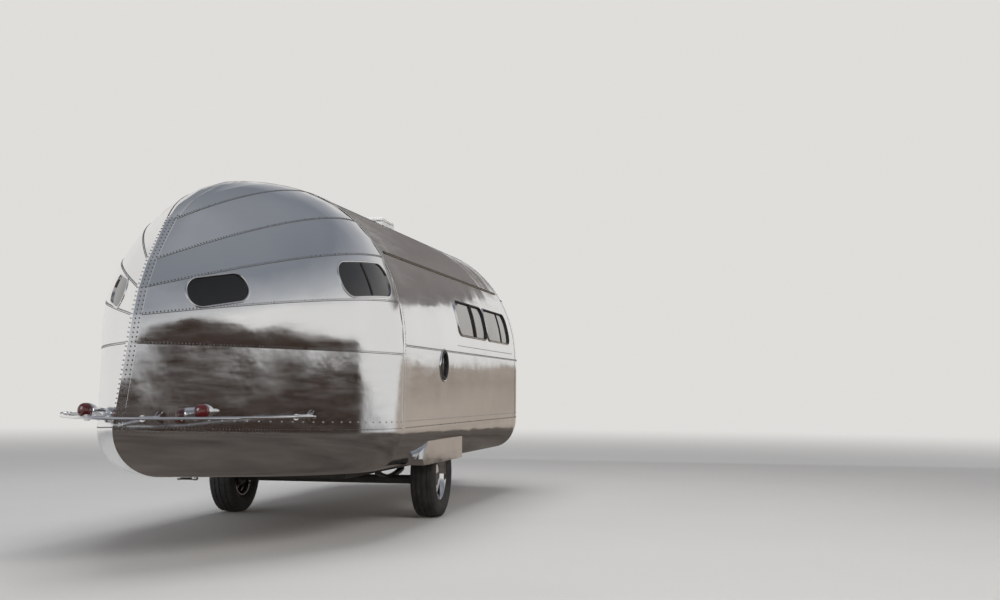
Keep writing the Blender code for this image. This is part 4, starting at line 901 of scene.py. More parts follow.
class Strips:
    """Sections drawn along paths, gathered in one mesh."""

    def __init__(self):
        self.bm = bmesh.new()

    def add(self, points, normals, section, closed=False, centre=None, shares=None):
        """Sections hold (side, out) points. The side points away from the centre, if one is given."""
        rings = []
        count = len(points)
        for i, (point, normal) in enumerate(zip(points, normals)):
            before = points[i - 1] if closed or i else point
            after = points[(i + 1) % count] if closed or i < count - 1 else point
            forward = (after - before).normalized()
            side = forward.cross(normal).normalized()
            if centre is not None and side.dot(point - centre) < 0:
                side = -side
            share = shares[i] if shares else 1.0
            rings.append([self.bm.verts.new(point + side * a * share + normal * b * share)
                          for a, b in section])
        join_rings(self.bm, rings, closed)

    def rod(self, points, across, radius, count, shares=None):
        """A round rod along points, where across is any direction that isn't along it."""
        self.add(points, [across] * len(points), on_circle(radius, count), shares=shares)

    def build(self, name, finish, slot, body="caravan", stands_for=None, sharp_angle=35):
        place_piece(name, mesh_from(name, self.bm, FINISHES[finish], sharp_angle), body,
                    stands_for)


class Domes:
    """Rivet heads: low domes on a surface, gathered in one mesh."""

    RING = 8
    # Columns: share of the radius, share of the height
    SHARES = ((1.0, -0.15), (0.78, 0.62), (0.36, 0.93))

    def __init__(self):
        self.points, self.faces = [], []

    def add(self, spots, radius, tall):
        for point, normal in spots:
            first = len(self.points)
            side = normal.orthogonal().normalized()
            other = normal.cross(side)
            for wide, high in self.SHARES:
                for k in range(self.RING):
                    turn = math.radians(360) * k / self.RING
                    self.points.append(point + radius * wide * (side * math.cos(turn)
                                       + other * math.sin(turn)) + normal * tall * high)
            top = len(self.points)
            self.points.append(point + normal * tall)
            for k in range(self.RING):
                after = (k + 1) % self.RING
                for level in range(len(self.SHARES) - 1):
                    low, high = first + level * self.RING, first + (level + 1) * self.RING
                    self.faces.append((low + k, low + after, high + after, high + k))
                self.faces.append((high + k, high + after, top))

    def row(self, kind, surface, path, limits, sign, lift=0.0, out=0.0, inset=0.0):
        """Heads of a kind, at its pitch along a path, moved up the surface and off it."""
        radius, tall, pitch = kind
        spots = spaced(surface, path, pitch, limits, sign, inset)
        self.add([(point + upward(normal) * lift + normal * out, normal) for point, normal in spots],
                 radius, tall)

    def build(self, name, finish, slot, body="caravan"):
        mesh = bpy.data.meshes.new(name)
        mesh.from_pydata(self.points, [], self.faces)
        mesh.materials.append(FINISHES[finish])
        mesh.shade_smooth()
        place_piece(name, mesh, body)


def turned(name, profile, matrix, finish, body, stands_for, turns, sharp_angle):
    """A profile of (radius, along) points turned about the matrix's Z axis, from pole to pole."""
    bm = bmesh.new()
    rings = []
    for radius, along in profile:
        if radius < WELD:
            rings.append([bm.verts.new((0, 0, along))] * turns)
        else:
            rings.append([bm.verts.new((x, y, along)) for x, y in on_circle(radius, turns)])
    join_rings(bm, rings, caps=False)
    bmesh.ops.transform(bm, verts=bm.verts, matrix=matrix)
    place_piece(name, mesh_from(name, bm, FINISHES[finish], sharp_angle), body, stands_for)


def axis_matrix(place, axis):
    """A matrix at a place with its Z along the axis."""
    turn = Vector(axis).to_track_quat("Z", "Y").to_matrix().to_4x4()
    return Matrix.Translation(place) @ turn


def on_surface(surface, path, limits, sign=1):
    """(points, normals) on one side of the body, for a path of (u, v) spots."""
    points = [mirrored(surface(u, v), sign) for u, v in path]
    normals = [mirrored(normal_at(surface, u, v, limits), sign) for u, v in path]
    return points, normals


def spaced(surface, path, pitch, limits, sign, inset=0.0):
    """(point, normal) pairs at an even pitch along a path of (u, v) spots."""
    points = [surface(u, v) for u, v in path]
    runs = [0.0]
    for one, two in zip(points, points[1:]):
        runs.append(runs[-1] + (two - one).length)
    usable = runs[-1] - 2 * inset
    count = max(1, round(usable / pitch))
    spots = []
    i = 0
    for k in range(count + 1):
        target = inset + usable * k / count
        while i < len(runs) - 2 and runs[i + 1] < target:
            i += 1
        part = (target - runs[i]) / max(runs[i + 1] - runs[i], WELD)
        spots.append(tuple(path[i][m] + (path[i + 1][m] - path[i][m]) * part for m in (0, 1)))
    return list(zip(*on_surface(surface, spots, limits, sign)))


def upward(normal):
    """The direction on a surface that climbs the most."""
    up = Vector((0, 0, 1)) - normal * normal.z
    return up.normalized() if up.length > WELD else Vector((1, 0, 0))


def line(low, high, count):
    """Spots on a straight line in (u, v)."""
    return [(low[0] + (high[0] - low[0]) * i / count, low[1] + (high[1] - low[1]) * i / count)
            for i in range(count + 1)]


def level(u, start, end, count):
    """Spots at one u, from one v to another."""
    return line((u, start), (u, end), count)


def grown_loop(loop, share):
    """An outline in (u, v), larger about its middle."""
    middle = [sum(spot[k] for spot in loop) / len(loop) for k in (0, 1)]
    return [tuple(middle[k] + (spot[k] - middle[k]) * share for k in (0, 1)) for spot in loop]


# The body's sheets

SHEET = ("metal", "pale", "edge")
DOOR_HALF = 0.31
DOOR_CORNER = 0.10
DOOR_GAP = 0.009
DOOR_LOW_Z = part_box("entry_door")[0].z - DOOR_GAP
DOOR_TOP_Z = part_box("entry_door")[1].z + DOOR_GAP
DOOR_WINDOW_Z, DOOR_WINDOW_HALF, DOOR_WINDOW_CORNER = 1.66, 0.17, 0.08
MIDDLE_CLEAR = 0.002
PAST_MIDDLE = 1.05
# The nose's plane seen from the front: its X is the frame's Y, and its Y is the frame's Z
FRONT_PLANE = Matrix(((0, 0, 1), (1, 0, 0), (0, 1, 0))).to_4x4()
NEAR_STEM = 0.9
BODY_SEAM_ROWS = (1.0, 1.72)
NOSE_SEAM_ROWS = (1.0, 1.36, 1.72)
FIRST_TONE, TONE_STEP = 0.2, 0.37
LEAF_TONE, HULL_TONE, RIB_TONE, SPINE_TONE = 0.6, 0.15, 0.8, 0.85
# Metres along u and v
TAIL_SCALE, BODY_SCALE, NOSE_SCALE, PANE_SCALE = (2.6, 2.9), (1.6, BODY_LONG), (1.3, 1.3), (2.0, 3.0)


def stem_rise(height):
    """The rise of the nose's row that meets the stem at a height."""
    if height < BELT_Z:
        return (height - CHINE_Z) / (BELT_Z - CHINE_Z)
    if height < STEM_KNEE_Z:
        return 1.0 + KNEE_ARCH_SHARE * (height - BELT_Z) / (STEM_KNEE_Z - BELT_Z)
    angle = math.asin((height - STEM_KNEE_Z) / (CROWN_Z - STEM_KNEE_Z))
    return 1.0 + KNEE_ARCH_SHARE + (1 - KNEE_ARCH_SHARE) * angle / math.radians(90)


def half_outline(middle_z, half_wide, half_tall, corner):
    """The left half of an outline on the nose, as a (u, v) loop closed past the middle line."""
    outline = [spot for spot in rounded_outline(half_wide, half_tall, corner) if spot[0] > MIDDLE_CLEAR]
    outline.sort(key=lambda spot: math.atan2(spot[1], spot[0]))
    flat = [(y, z + middle_z) for y, z in outline]
    low, high = stem_rise(middle_z - half_tall), stem_rise(middle_z + half_tall)
    loop = onto_surface(nose_surface, FRONT_PLANE, flat, (low, NEAR_STEM), WHOLE)
    return loop + [(high, 1.0), (high, PAST_MIDDLE), (low, PAST_MIDDLE), (low, 1.0)]


def door_outline(inset=0.0):
    half_tall = (DOOR_TOP_Z - DOOR_LOW_Z) / 2 - inset
    return half_outline((DOOR_TOP_Z + DOOR_LOW_Z) / 2, DOOR_HALF - inset, half_tall,
                        DOOR_CORNER - inset)


def door_window_outline(inset=0.0):
    half = DOOR_WINDOW_HALF - inset
    return half_outline(DOOR_WINDOW_Z, half, half, DOOR_WINDOW_CORNER - inset)


def panel_tone(u, _):
    """A panel's own shade, by the row of sheets that it lies in."""
    return (FIRST_TONE + TONE_STEP * sum(u > row for row in NOSE_SEAM_ROWS[::2])) % 1.0


def holes_in(loops, surface, low=0.0, high=2.0):
    return [loop for where, loop, _ in loops.values() if where is surface
            and low < sum(u for u, _ in loop) / len(loop) < high]


def add_body():
    loops = window_loops()
    for side, sign in SIDES:
        skin = Skin()
        for number, (lower, upper) in enumerate(zip(TAIL_SEAM_SHARES, TAIL_SEAM_SHARES[1:])):
            tall = body_rise(CHINE_Z + (CROWN_Z - CHINE_Z) * upper[0]) - body_rise(
                CHINE_Z + (CROWN_Z - CHINE_Z) * lower[0])
            us = tail_levels(lower[0], upper[0], max(2, round(tall * 11)))
            vs = steps(0.0, 1.0, 48)
            holes = holes_in(loops, tail_surface, lower[0], upper[0])
            layout = cut_layout(us, vs, TAIL_SCALE, None, holes) if holes else grid_layout(us, vs)
            skin.add(tail_surface, layout, (lower[0], upper[0], 0.0, 1.0), sign,
                     (number * TONE_STEP + FIRST_TONE) % 1.0)
        skin.build("tail_skin_" + side, SHEET, "polished_aluminium", "caravan", "tail_shell_" + side)

    skin = Skin()
    for side, sign in SIDES:
        for low, high, rows in ((0.0, 1.0, 8), (1.0, 2.0, 26)):
            layout = cut_layout(steps(low, high, rows), steps(0.0, 1.0, 60), BODY_SCALE, None,
                                holes_in(loops, body_surface, low, high))
            skin.add(body_surface, layout, (low, high, 0.0, 1.0), sign, panel_tone)
    skin.build("body_skin", SHEET, "polished_aluminium", "caravan", "main_shell")

    skin, leaf = Skin(), Skin()
    us, vs = steps(0.0, 2.0, 40), steps(0.0, 1.0, 22)
    opening, inner = door_outline(), door_outline(DOOR_GAP)
    for side, sign in SIDES:
        layout = cut_layout(us, vs, NOSE_SCALE, None, holes_in(loops, nose_surface) + [opening])
        skin.add(nose_surface, layout, WHOLE, sign, panel_tone)
        layout = cut_layout(us, vs, NOSE_SCALE, inner, [door_window_outline()])
        leaf.add(nose_surface, layout, WHOLE, sign, LEAF_TONE)
    skin.build("nose_skin", SHEET, "polished_aluminium", "caravan", "nose_shell")
    leaf.build("door_leaf", SHEET, "polished_aluminium", "door", "entry_door")


# The side sheet reaches down behind the fairing's top edge
ARCH_TOP_SHARE = 0.235
ARCH_IN_SHARE = 1.11875
WHEEL_BOX_HALF_LONG = 0.43


def add_hull():
    """The lower hull, open over each wheel."""
    arch = [body_share(sign * WHEEL_BOX_HALF_LONG) for sign in (-1, 1)]
    us = steps(0.0, ARCH_TOP_SHARE, 3) + steps(ARCH_TOP_SHARE, 1.0, 10)[1:]
    us += [ARCH_IN_SHARE] + steps(ARCH_IN_SHARE, 2.0, 3)[1:]
    vs = steps(-1.0, 0.0, 34) + steps(0.0, arch[0], 8)[1:] + steps(*arch, 6)[1:]
    vs += steps(arch[1], 1.0, 12)[1:] + steps(1.0, 2.0, 16)[1:]
    layout = grid_layout(us, vs, lambda u, v: ARCH_TOP_SHARE < u < ARCH_IN_SHARE
                         and arch[0] < v < arch[1])
    skin = Skin()
    for _, sign in SIDES:
        skin.add(hull_surface, layout, HULL_WHOLE, sign, HULL_TONE)
    skin.build("hull_skin", SHEET, "polished_aluminium", "caravan", "lower_hull")


# Windows

# Sections hold (outward from the opening, off the surface)
BLACK_GASKET = ((-0.003, -0.006), (-0.003, 0.009), (0.000, 0.0105), (0.004, 0.0105), (0.004, -0.001))
POLISHED_LIP = ((0.0042, -0.001), (0.0042, 0.0104), (0.007, 0.0098), (0.012, 0.005), (0.0145, -0.001))
# The round porthole's wide black ring: partly rubber gasket, partly painted shade of the porthole's recess.
PORTHOLE_GASKET_AND_SHADE_RING = ((-0.004, -0.006), (-0.004, 0.008), (0.001, 0.013), (0.016, 0.013), (0.022, 0.008),
                 (0.022, -0.001))
PORTHOLE_LIP = ((0.0222, -0.001), (0.0222, 0.0078), (0.027, 0.0085), (0.031, 0.005), (0.032, -0.001))
CHROME_RIM = ((-0.002, -0.006), (-0.002, 0.003), (0.001, 0.005), (0.006, 0.005), (0.009, 0.0035),
              (0.010, -0.001))
# Columns: piece, section, finish, slot
GASKET_AND_LIP = (("rim", BLACK_GASKET, "rubber", "dark_trim"),
                  ("lip", POLISHED_LIP, "metal", "polished_aluminium"))
RING_AND_LIP = (("rim", PORTHOLE_GASKET_AND_SHADE_RING, "rubber", "dark_trim"),
                ("lip", PORTHOLE_LIP, "chrome", "chrome"))
BRIGHT_RIM = (("rim", CHROME_RIM, "chrome", "chrome"),)
WINDOW_TRIMS = {
    "window_side_rear": ("mirror_glass", GASKET_AND_LIP),
    "window_side_front": ("mirror_glass", GASKET_AND_LIP),
    "window_nose": ("mirror_glass", GASKET_AND_LIP),
    "porthole_round": ("tinted_glass", RING_AND_LIP),
    "porthole_tail": ("tinted_glass", BRIGHT_RIM),
    "window_slider": ("tinted_glass", BRIGHT_RIM),
}
PANE_GROWS = (-GLASS_SINK, -GLASS_SINK - GLASS_THICK)
DOOR_PANE_MARGIN = 0.02


def span(loop, k):
    """The least and most u of a loop where k is 0, or v where it is 1."""
    return min(spot[k] for spot in loop), max(spot[k] for spot in loop)


def pane_layout(loop, count, keep=None):
    """Triangles inside a window's loop, or inside an outline that it keeps instead."""
    return cut_layout(steps(*span(loop, 0), count), steps(*span(loop, 1), count), PANE_SCALE,
                      keep or loop)


def add_rim(name, points, normals, section, finish, slot, body="caravan"):
    strip = Strips()
    strip.add(points, normals, section, True, sum(points, Vector()) / len(points))
    strip.build(name, finish, slot, body)


def add_panes():
    """The panes, sunk a little in their openings, with a gasket or rim round each."""
    for name, (surface, loop, limits) in window_loops(SEAT_GAP).items():
        glass, trims = WINDOW_TRIMS[name]
        layout = pane_layout(loop, 8)
        for side, sign in SIDES:
            pane = Skin(*PANE_GROWS)
            pane.add(surface, layout, limits, sign)
            pane.build("pane_{}_{}".format(name, side), (glass,) * 3, "tinted_glass", "caravan",
                       "{}_{}".format(name, side))
            around = on_surface(surface, loop, limits, sign)
            for kind, section, finish, slot in trims:
                add_rim("{}_{}_{}".format(kind, name, side), *around, section, finish, slot)

    pane = Skin(*PANE_GROWS)
    keep = door_window_outline(SEAT_GAP)
    us = steps(keep[0][0] - DOOR_PANE_MARGIN, keep[-3][0] + DOOR_PANE_MARGIN, 8)
    for _, sign in SIDES:
        pane.add(nose_surface, cut_layout(us, steps(0.6, 1.0, 8), NOSE_SCALE, keep), WHOLE, sign)
    pane.build("pane_door", ("mirror_glass",) * 3, "tinted_glass", "door", "door_window")
    half = [spot for spot in keep if spot[1] < 1.0]
    left, right = (on_surface(nose_surface, half, WHOLE, sign) for _, sign in SIDES)
    add_rim("rim_door_window", left[0] + right[0][::-1], left[1] + right[1][::-1], BLACK_GASKET,
            "rubber", "dark_trim", "door")


# Seams and rivets

# The dark line along each seam, partly sealant and partly painted shade of the lapped sheet's edge.
SEALANT_AND_LAP_SHADE = ((-0.0020, -0.001), (-0.0020, 0.0007), (0.0020, 0.0007), (0.0020, -0.001))
# Heads: radius, height and pitch
RIVET = (0.0054, 0.0020, 0.023)
FINE = (0.0044, 0.0020, 0.024)
BELT_RIVET = (0.0044, 0.0020, 0.030)
SPINE_RIVET = (0.0054, 0.0020, 0.028)
SPARSE_RIVET = (0.0050, 0.0020, 0.075)
BOLT = (0.0075, 0.0035, 0.090)
ROW_LIFT, FINE_LIFT, BOLT_LIFT = 0.0095, 0.012, 0.060
SEAM_INSET = 0.012
UNDER_BELT_Z = 1.405
DOOR_CLEAR = 0.02
TAIL_SEAMS = (0.301, 0.512, 0.697, 0.846, 0.962)
# Columns: name, surface, limits, seams, ends and steps of a seam, ends and steps of the chine's rows
SEAMED_SHEETS = (
    ("tail", tail_surface, TAIL_WHOLE, TAIL_SEAMS, (0.004, 0.985, 90), (0.012, 0.975, 120)),
    ("body", body_surface, WHOLE, BODY_SEAM_ROWS, (0.014, 0.996, 60), (0.016, 0.994, 60)),
    ("nose", nose_surface, WHOLE, NOSE_SEAM_ROWS, (0.004, 0.97, 80), (0.01, 0.72, 80)),
)


def clear_runs(path, skips):
    """The stretches of a path that lie outside the skips."""
    runs, run = [], []
    for spot in path:
        if any(inside(spot, skip) for skip in skips):
            if len(run) > 2:
                runs.append(run)
            run = []
        else:
            run.append(spot)
    return runs + ([run] if len(run) > 2 else [])


def add_body_rows(lines, domes, sign):
    """The row over the belt, and the seam and row where the body meets the nose."""
    domes.row(BELT_RIVET, body_surface, level(body_rise(UNDER_BELT_Z), 0.40, 0.96, 60), WHOLE, sign)
    lines.add(*on_surface(body_surface, line((0.0, 1.0), (2.0, 1.0), 80), WHOLE, sign), SEALANT_AND_LAP_SHADE)
    radius, tall, pitch = RIVET
    spots = spaced(body_surface, line((0.02, 1.0), (1.99, 1.0), 100), pitch, WHOLE, sign)
    domes.add([(point - Vector((ROW_LIFT, 0, 0)), normal) for point, normal in spots], radius, tall)


def add_seams():
    """Dark seam lines, partly sealant and partly painted lap shade, rivets over them, and the chine's rows.
    """
    door = [door_outline(-DOOR_CLEAR)]
    for part, surface, limits, rows, seam_ends, chine_ends in SEAMED_SHEETS:
        groups = [("_" + side, (sign,)) for side, sign in SIDES] if part == "tail" else [("", (1, -1))]
        for ending, signs in groups:
            lines, domes, bolts = Strips(), Domes(), Domes()
            for sign in signs:
                for row in rows:
                    for run in clear_runs(level(row, *seam_ends), door if part == "nose" else ()):
                        lines.add(*on_surface(surface, run, limits, sign), SEALANT_AND_LAP_SHADE)
                        domes.row(RIVET, surface, run, limits, sign, ROW_LIFT, inset=SEAM_INSET)
                chine = level(0.0, *chine_ends)
                domes.row(FINE, surface, chine, limits, sign, FINE_LIFT)
                bolts.row(BOLT, surface, chine, limits, sign, BOLT_LIFT)
                if part == "body":
                    add_body_rows(lines, domes, sign)
            lines.build(part + "_seams" + ending, "sealant", "dark_trim")
            domes.build(part + "_rivets" + ending, "rivet", "polished_aluminium")
            bolts.build(part + "_bolts" + ending, "chrome", "chrome")


# Bands over the joints

BAND_OUT, BAND_UNDER = 0.0025, 0.0004
RIB_BAND_LONG = 0.060
SPINE_BAND_HALF = 0.034
SPINE_COLUMNS = 4
# Columns: kind of rivet, lowest and highest rise, how far ahead of the joint
RIB_ROWS = ((RIVET, 0.01, 0.91, 0.010), (RIVET, 0.91, 1.99, 0.052), (SPARSE_RIVET, 1.01, 1.34, 0.046))
SPINE_ROW_SHARES = (0.22, 0.68)


def spine_edge(u):
    """How far back the spine band's edge lies on the row at a height share."""
    wide, _, _, _, power = tail_row(u)
    half = min(SPINE_BAND_HALF, 0.45 * wide)
    return (1.0 - half / wide) ** (1.0 / power) if wide > WELD else 0.0


def add_bands():
    """The smooth band round the rib and the riveted strip down the spine."""
    band, domes = Skin(BAND_OUT, BAND_UNDER), Domes()
    layout = grid_layout(steps(0.0, 2.0, 90), [0.0004, RIB_BAND_LONG / BODY_LONG])
    for _, sign in SIDES:
        band.add(body_surface, layout, WHOLE, sign, RIB_TONE)
        for kind, low, high, spot in RIB_ROWS:
            run = line((low, spot / BODY_LONG), (high, spot / BODY_LONG), 60)
            domes.row(kind, body_surface, run, WHOLE, sign, out=BAND_OUT)
    band.build("rib_strip", SHEET[:1] * 3, "polished_aluminium", "caravan", "rib_band")
    domes.build("rib_rivets", "rivet", "polished_aluminium")

    levels = tail_levels(0.0, 0.9995, 90)
    band, domes = Skin(BAND_OUT, BAND_UNDER), Domes()

    def across(u, share):
        """The spot at a share of the way from the band's edge to the spine."""
        return u, spine_edge(u) + (1.0 - spine_edge(u)) * share

    _, faces = grid_layout(levels, steps(0.0, 1.0, SPINE_COLUMNS))
    spots = [across(u, j / SPINE_COLUMNS) for u in levels for j in range(SPINE_COLUMNS + 1)]
    for _, sign in SIDES:
        band.add(tail_surface, (spots, faces), TAIL_WHOLE, sign, SPINE_TONE)
        for share in SPINE_ROW_SHARES:
            path = [across(u, share) for u in levels[1:-8]]
            domes.row(SPINE_RIVET, tail_surface, path, TAIL_WHOLE, sign, out=BAND_OUT)
    band.build("spine_strip", SHEET[:1] * 3, "polished_aluminium", "caravan", "spine_band")
    domes.build("spine_rivets", "rivet", "polished_aluminium")


# Wheels

WHEEL_PLACES = {side: Vector((AXLE_X, sum(corner.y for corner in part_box("tyre_" + side)) / 2,
                              TYRE_RADIUS)) for side, _ in SIDES}
TYRE_WIDE = 0.205
RIM_RADIUS = 0.203
RIM_WIDE = 0.150
RIM_WELL_DEEP = 0.020
RIM_THICK = 0.008
RIM_FLANGE_LONG = 0.014
DISC_THICK = 0.012
DISC_OUT = 0.030
HUBCAP_RADIUS = 0.105
HUBCAP_OUT = 0.028
DRUM_RADIUS = 0.125
TREAD_DEEP, TREAD_DROP = 0.007, 0.0085
TREAD_CUT, SHOULDER_CUT = 0.004, 0.005
TYRE_TURNS, TURNS_A_CUT = 144, 4
TREAD_MIDDLE_HALF, MIDDLE_SHIFT_SHARE = 0.02, 0.35
SLOT_COUNT, SLOT_RING, SLOT_RADIUS, SLOT_SINK, SLOT_LONG = 10, 0.150, 0.007, 0.010, 0.008
# Columns: share of the half width, share of the way from rim to tread
TYRE_SECTION_SHARES = (
    (0.66, 0.0), (0.74, 0.04), (0.80, 0.12), (0.93, 0.26), (0.99, 0.40), (1.0, 0.50), (0.985, 0.62),
    (0.95, 0.76), (0.90, 0.87), (0.84, 0.925), (0.72, 0.957),
)
# Half of the tread across: share of the half width, whether it lies in a groove
TREAD_SHARES = (
    (0.70, 0), (0.46, 0), (0.45, 1), (0.39, 1), (0.38, 0), (0.08, 0), (0.07, 1), (0.0, 1),
)


def tyre_section():
    """(across, radius, lug) from the outer bead over the tread; lug is the depth of its cross cuts."""
    high = TYRE_RADIUS - RIM_RADIUS
    half = TYRE_WIDE / 2
    side = [(half * a, RIM_RADIUS + high * b, 0.0) for a, b in TYRE_SECTION_SHARES]
    side[-2:] = [(a, r, SHOULDER_CUT) for a, r, _ in side[-2:]]
    crown = [(half * a, TYRE_RADIUS - TREAD_DROP * (a / 0.72) ** 2 - TREAD_DEEP * groove,
              0.0 if groove else TREAD_CUT) for a, groove in TREAD_SHARES]
    right = side + crown
    return right + [(-a, r, lug) for a, r, lug in reversed(right) if a > 0]


def add_tyre(side):
    bm = bmesh.new()
    rings = []
    for k in range(TYRE_TURNS):
        turn = math.radians(360) * k / TYRE_TURNS
        cut = 1.0 if k % TURNS_A_CUT == 0 else 0.0
        ring = []
        for across, radius, lug in tyre_section():
            r = radius - lug * cut
            shift = MIDDLE_SHIFT_SHARE * math.radians(360) / TYRE_TURNS * (abs(across) < TREAD_MIDDLE_HALF)
            ring.append(bm.verts.new((r * math.cos(turn + shift), across, r * math.sin(turn + shift))))
        rings.append(ring)
    join_rings(bm, rings, closed=True)
    bmesh.ops.translate(bm, verts=bm.verts, vec=WHEEL_PLACES[side])
    name = "tread_tyre_" + side
    place_piece(name, mesh_from(name, bm, FINISHES["tyre"], 32), "wheel_" + side,
                "tyre_" + side)


def rim_section():
    well, half = RIM_RADIUS - RIM_WELL_DEEP, RIM_WIDE / 2
    flange = half - RIM_FLANGE_LONG
    cap = [(HUBCAP_RADIUS * math.sin(math.radians(90) * i / 8),
            DISC_OUT + HUBCAP_OUT * math.cos(math.radians(90) * i / 8) ** 0.8) for i in range(8)]
    return cap + [
        (HUBCAP_RADIUS, DISC_OUT + 0.004), (HUBCAP_RADIUS + 0.004, DISC_OUT),
        (HUBCAP_RADIUS + 0.018, DISC_OUT + 0.004), (HUBCAP_RADIUS + 0.034, DISC_OUT + 0.003),
        (HUBCAP_RADIUS + 0.046, DISC_OUT - 0.006), (well - 2 * RIM_THICK, DISC_OUT - RIM_THICK),
        (well - RIM_THICK, DISC_OUT - 0.002), (RIM_RADIUS - 2.2 * RIM_THICK, half - 2.5 * RIM_THICK),
        (RIM_RADIUS - RIM_THICK, half - RIM_THICK / 2), (RIM_RADIUS - RIM_THICK / 3, half),
        (RIM_RADIUS, half), (RIM_RADIUS, flange), (well, half / 2), (well, -half / 2),
        (RIM_RADIUS, -flange), (RIM_RADIUS, -half), (RIM_RADIUS - RIM_THICK, -half),
        (well - RIM_THICK, -half / 2), (well - RIM_THICK, DISC_OUT - 3 * RIM_THICK),
        (DRUM_RADIUS, DISC_OUT - DISC_THICK), (0.0, DISC_OUT - DISC_THICK),
    ]


def add_wheel(side, sign):
    add_tyre(side)
    place = axis_matrix(WHEEL_PLACES[side], (0, sign, 0))
    turned("wheel_rim_" + side, rim_section(), place, "chrome", "wheel_" + side,
           "rim_" + side, 96, 30)
    slots = Strips()
    for x, y in on_circle(SLOT_RING, SLOT_COUNT):
        foot = Vector((x, y, DISC_OUT - SLOT_SINK))
        radial = (place.to_3x3() @ Vector((x, y, 0))).normalized()
        slots.rod([place @ foot, place @ (foot + Vector((0, 0, SLOT_LONG)))], radial, SLOT_RADIUS, 6)
    slots.build("rim_slots_" + side, "paint", "frame_paint", "wheel_" + side)
    dress("paint", "drum_" + side)


# Trim

# Columns: share of the length, share of the radius
LAMP_BODY_SHARES = (
    (0, 0.0), (0, 0.90), (0.012, 0.96), (0.03, 1.0), (0.055, 1.0), (0.07, 0.965), (0.11, 0.965),
    (0.16, 0.91), (0.24, 0.80), (0.30, 0.66), (0.36, 0.52), (0.40, 0.43), (0.44, 0.37), (0.47, 0.34),
    (1, 0.33), (1, 0.0),
)
LAMP_LONG = 0.30


def add_lamps():
    for side, _ in SIDES:
        low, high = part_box("lamp_housing_" + side)
        middle, radius = (low + high) / 2, (high.y - low.y) / 2
        place = axis_matrix(Vector((low.x, middle.y, middle.z)), (1, 0, 0))
        profile = [(share * radius, along * LAMP_LONG) for along, share in LAMP_BODY_SHARES]
        turned("lamp_bullet_" + side, profile, place, "chrome", "caravan",
               "lamp_housing_" + side, 64, 40)
        low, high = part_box("lamp_lens_" + side)
        radius, deep = (high.y - low.y) / 2, high.x - low.x
        place = axis_matrix(Vector((high.x, middle.y, middle.z)), (-1, 0, 0))
        profile = [(0.0, 0.0), (0.9 * radius, 0.0)]
        profile += [(radius * (0.90 + 0.10 * math.sin(math.radians(180) * i / 6)), deep * 0.42 * i / 6)
                    for i in range(1, 6)]
        profile += [(radius * math.cos(math.radians(90) * i / 9) ** 0.9 if i < 9 else 0.0,
                     deep * (0.40 + 0.60 * math.sin(math.radians(90) * i / 9)))
                    for i in range(1, 10)]
        turned("lamp_ball_" + side, profile, place, "lens", "caravan",
               "lamp_lens_" + side, 64, 40)


UP, ACROSS = Vector((0, 0, 1)), Vector((0, 1, 0))
BUMPER_Z, BUMPER_HALF, BUMPER_TIP_X = 0.862, 0.84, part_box("bumper")[0].x
BLADE_THICK, BLADE_WIDE, BLADE_SWEEP, BLADE_SWEEP_POWER = 0.016, 0.055, 1.06, 1.65
# Columns: share of the blade's width, share of half its thickness
BLADE_SHARES = ((0.0, -0.35), (0.04, 0.35), (0.22, 0.9), (0.5, 1.0), (0.85, 0.9), (1.0, 0.4),
                (1.0, -0.4), (0.85, -0.9), (0.5, -1.0), (0.2, -0.9))
# Columns: share of the blade's half length, how far ahead of the blade the arm ends
BUMPER_ARMS = ((0.20, 0.30), (0.90, 0.55))
ARM_RADIUS, ARM_SPREAD_SHARE = 0.011, 0.95
# Columns: share of the way along the arm, share of the arm's radius
ARM_COLLARS = ((0.06, 1.7), (0.14, 1.5))
COLLAR_LONG_SHARE = 0.035
BLADE_BOLT_RADIUS, BLADE_BOLT_TALL = 0.012, 0.007


def blade_edges(share):
    """(outer x, width) of the bumper's blade at a share of its half length."""
    outer = BUMPER_TIP_X + BLADE_SWEEP * abs(share) ** BLADE_SWEEP_POWER
    return outer, BLADE_WIDE * max(0.06, 1.0 - abs(share) ** 3)


def add_bumper():
    """A thin blade bent round the tail, pointed at its ends, on four arms."""
    blade = Strips()
    rings = []
    for share in steps(-1.0, 1.0, 120):
        x, wide = blade_edges(share)
        rings.append([blade.bm.verts.new((x + wide * a, BUMPER_HALF * share,
                                          BUMPER_Z + BLADE_THICK / 2 * b)) for a, b in BLADE_SHARES])
    join_rings(blade.bm, rings)
    blade.build("bumper_blade", "chrome", "chrome", "caravan", "bumper", 50)
    arms, heads = Strips(), Domes()
    for share, back in BUMPER_ARMS:
        x, _ = blade_edges(share)
        for sign in (-1, 1):
            y = BUMPER_HALF * share * sign
            start = Vector((x + BLADE_WIDE / 2, y, BUMPER_Z))
            end = Vector((x + back, ARM_SPREAD_SHARE * y, BUMPER_Z))
            arms.rod([start.lerp(end, i / 8) for i in range(9)], UP, ARM_RADIUS, 14)
            for part, wide in ARM_COLLARS:
                arms.rod([start.lerp(end, part), start.lerp(end, part + COLLAR_LONG_SHARE)], UP,
                         ARM_RADIUS * wide, 14)
            heads.add([(start + UP * BLADE_THICK / 2, UP)], BLADE_BOLT_RADIUS, BLADE_BOLT_TALL)
    arms.build("bumper_arms", "chrome", "chrome")
    heads.build("bumper_bolts", "chrome", "chrome")


def tail_spot(y, z):
    """(point, normal) of the tail's left surface nearest to a line that runs lengthwise at y, z."""
    spots = [(u, v) for u in steps(0.0, 0.14, 28) for v in steps(0.0, 0.985, 140)]
    best = min(spots, key=lambda spot: (tail_surface(*spot).y - y) ** 2
               + (tail_surface(*spot).z - z) ** 2)
    return tail_surface(*best), normal_at(tail_surface, *best, TAIL_WHOLE)


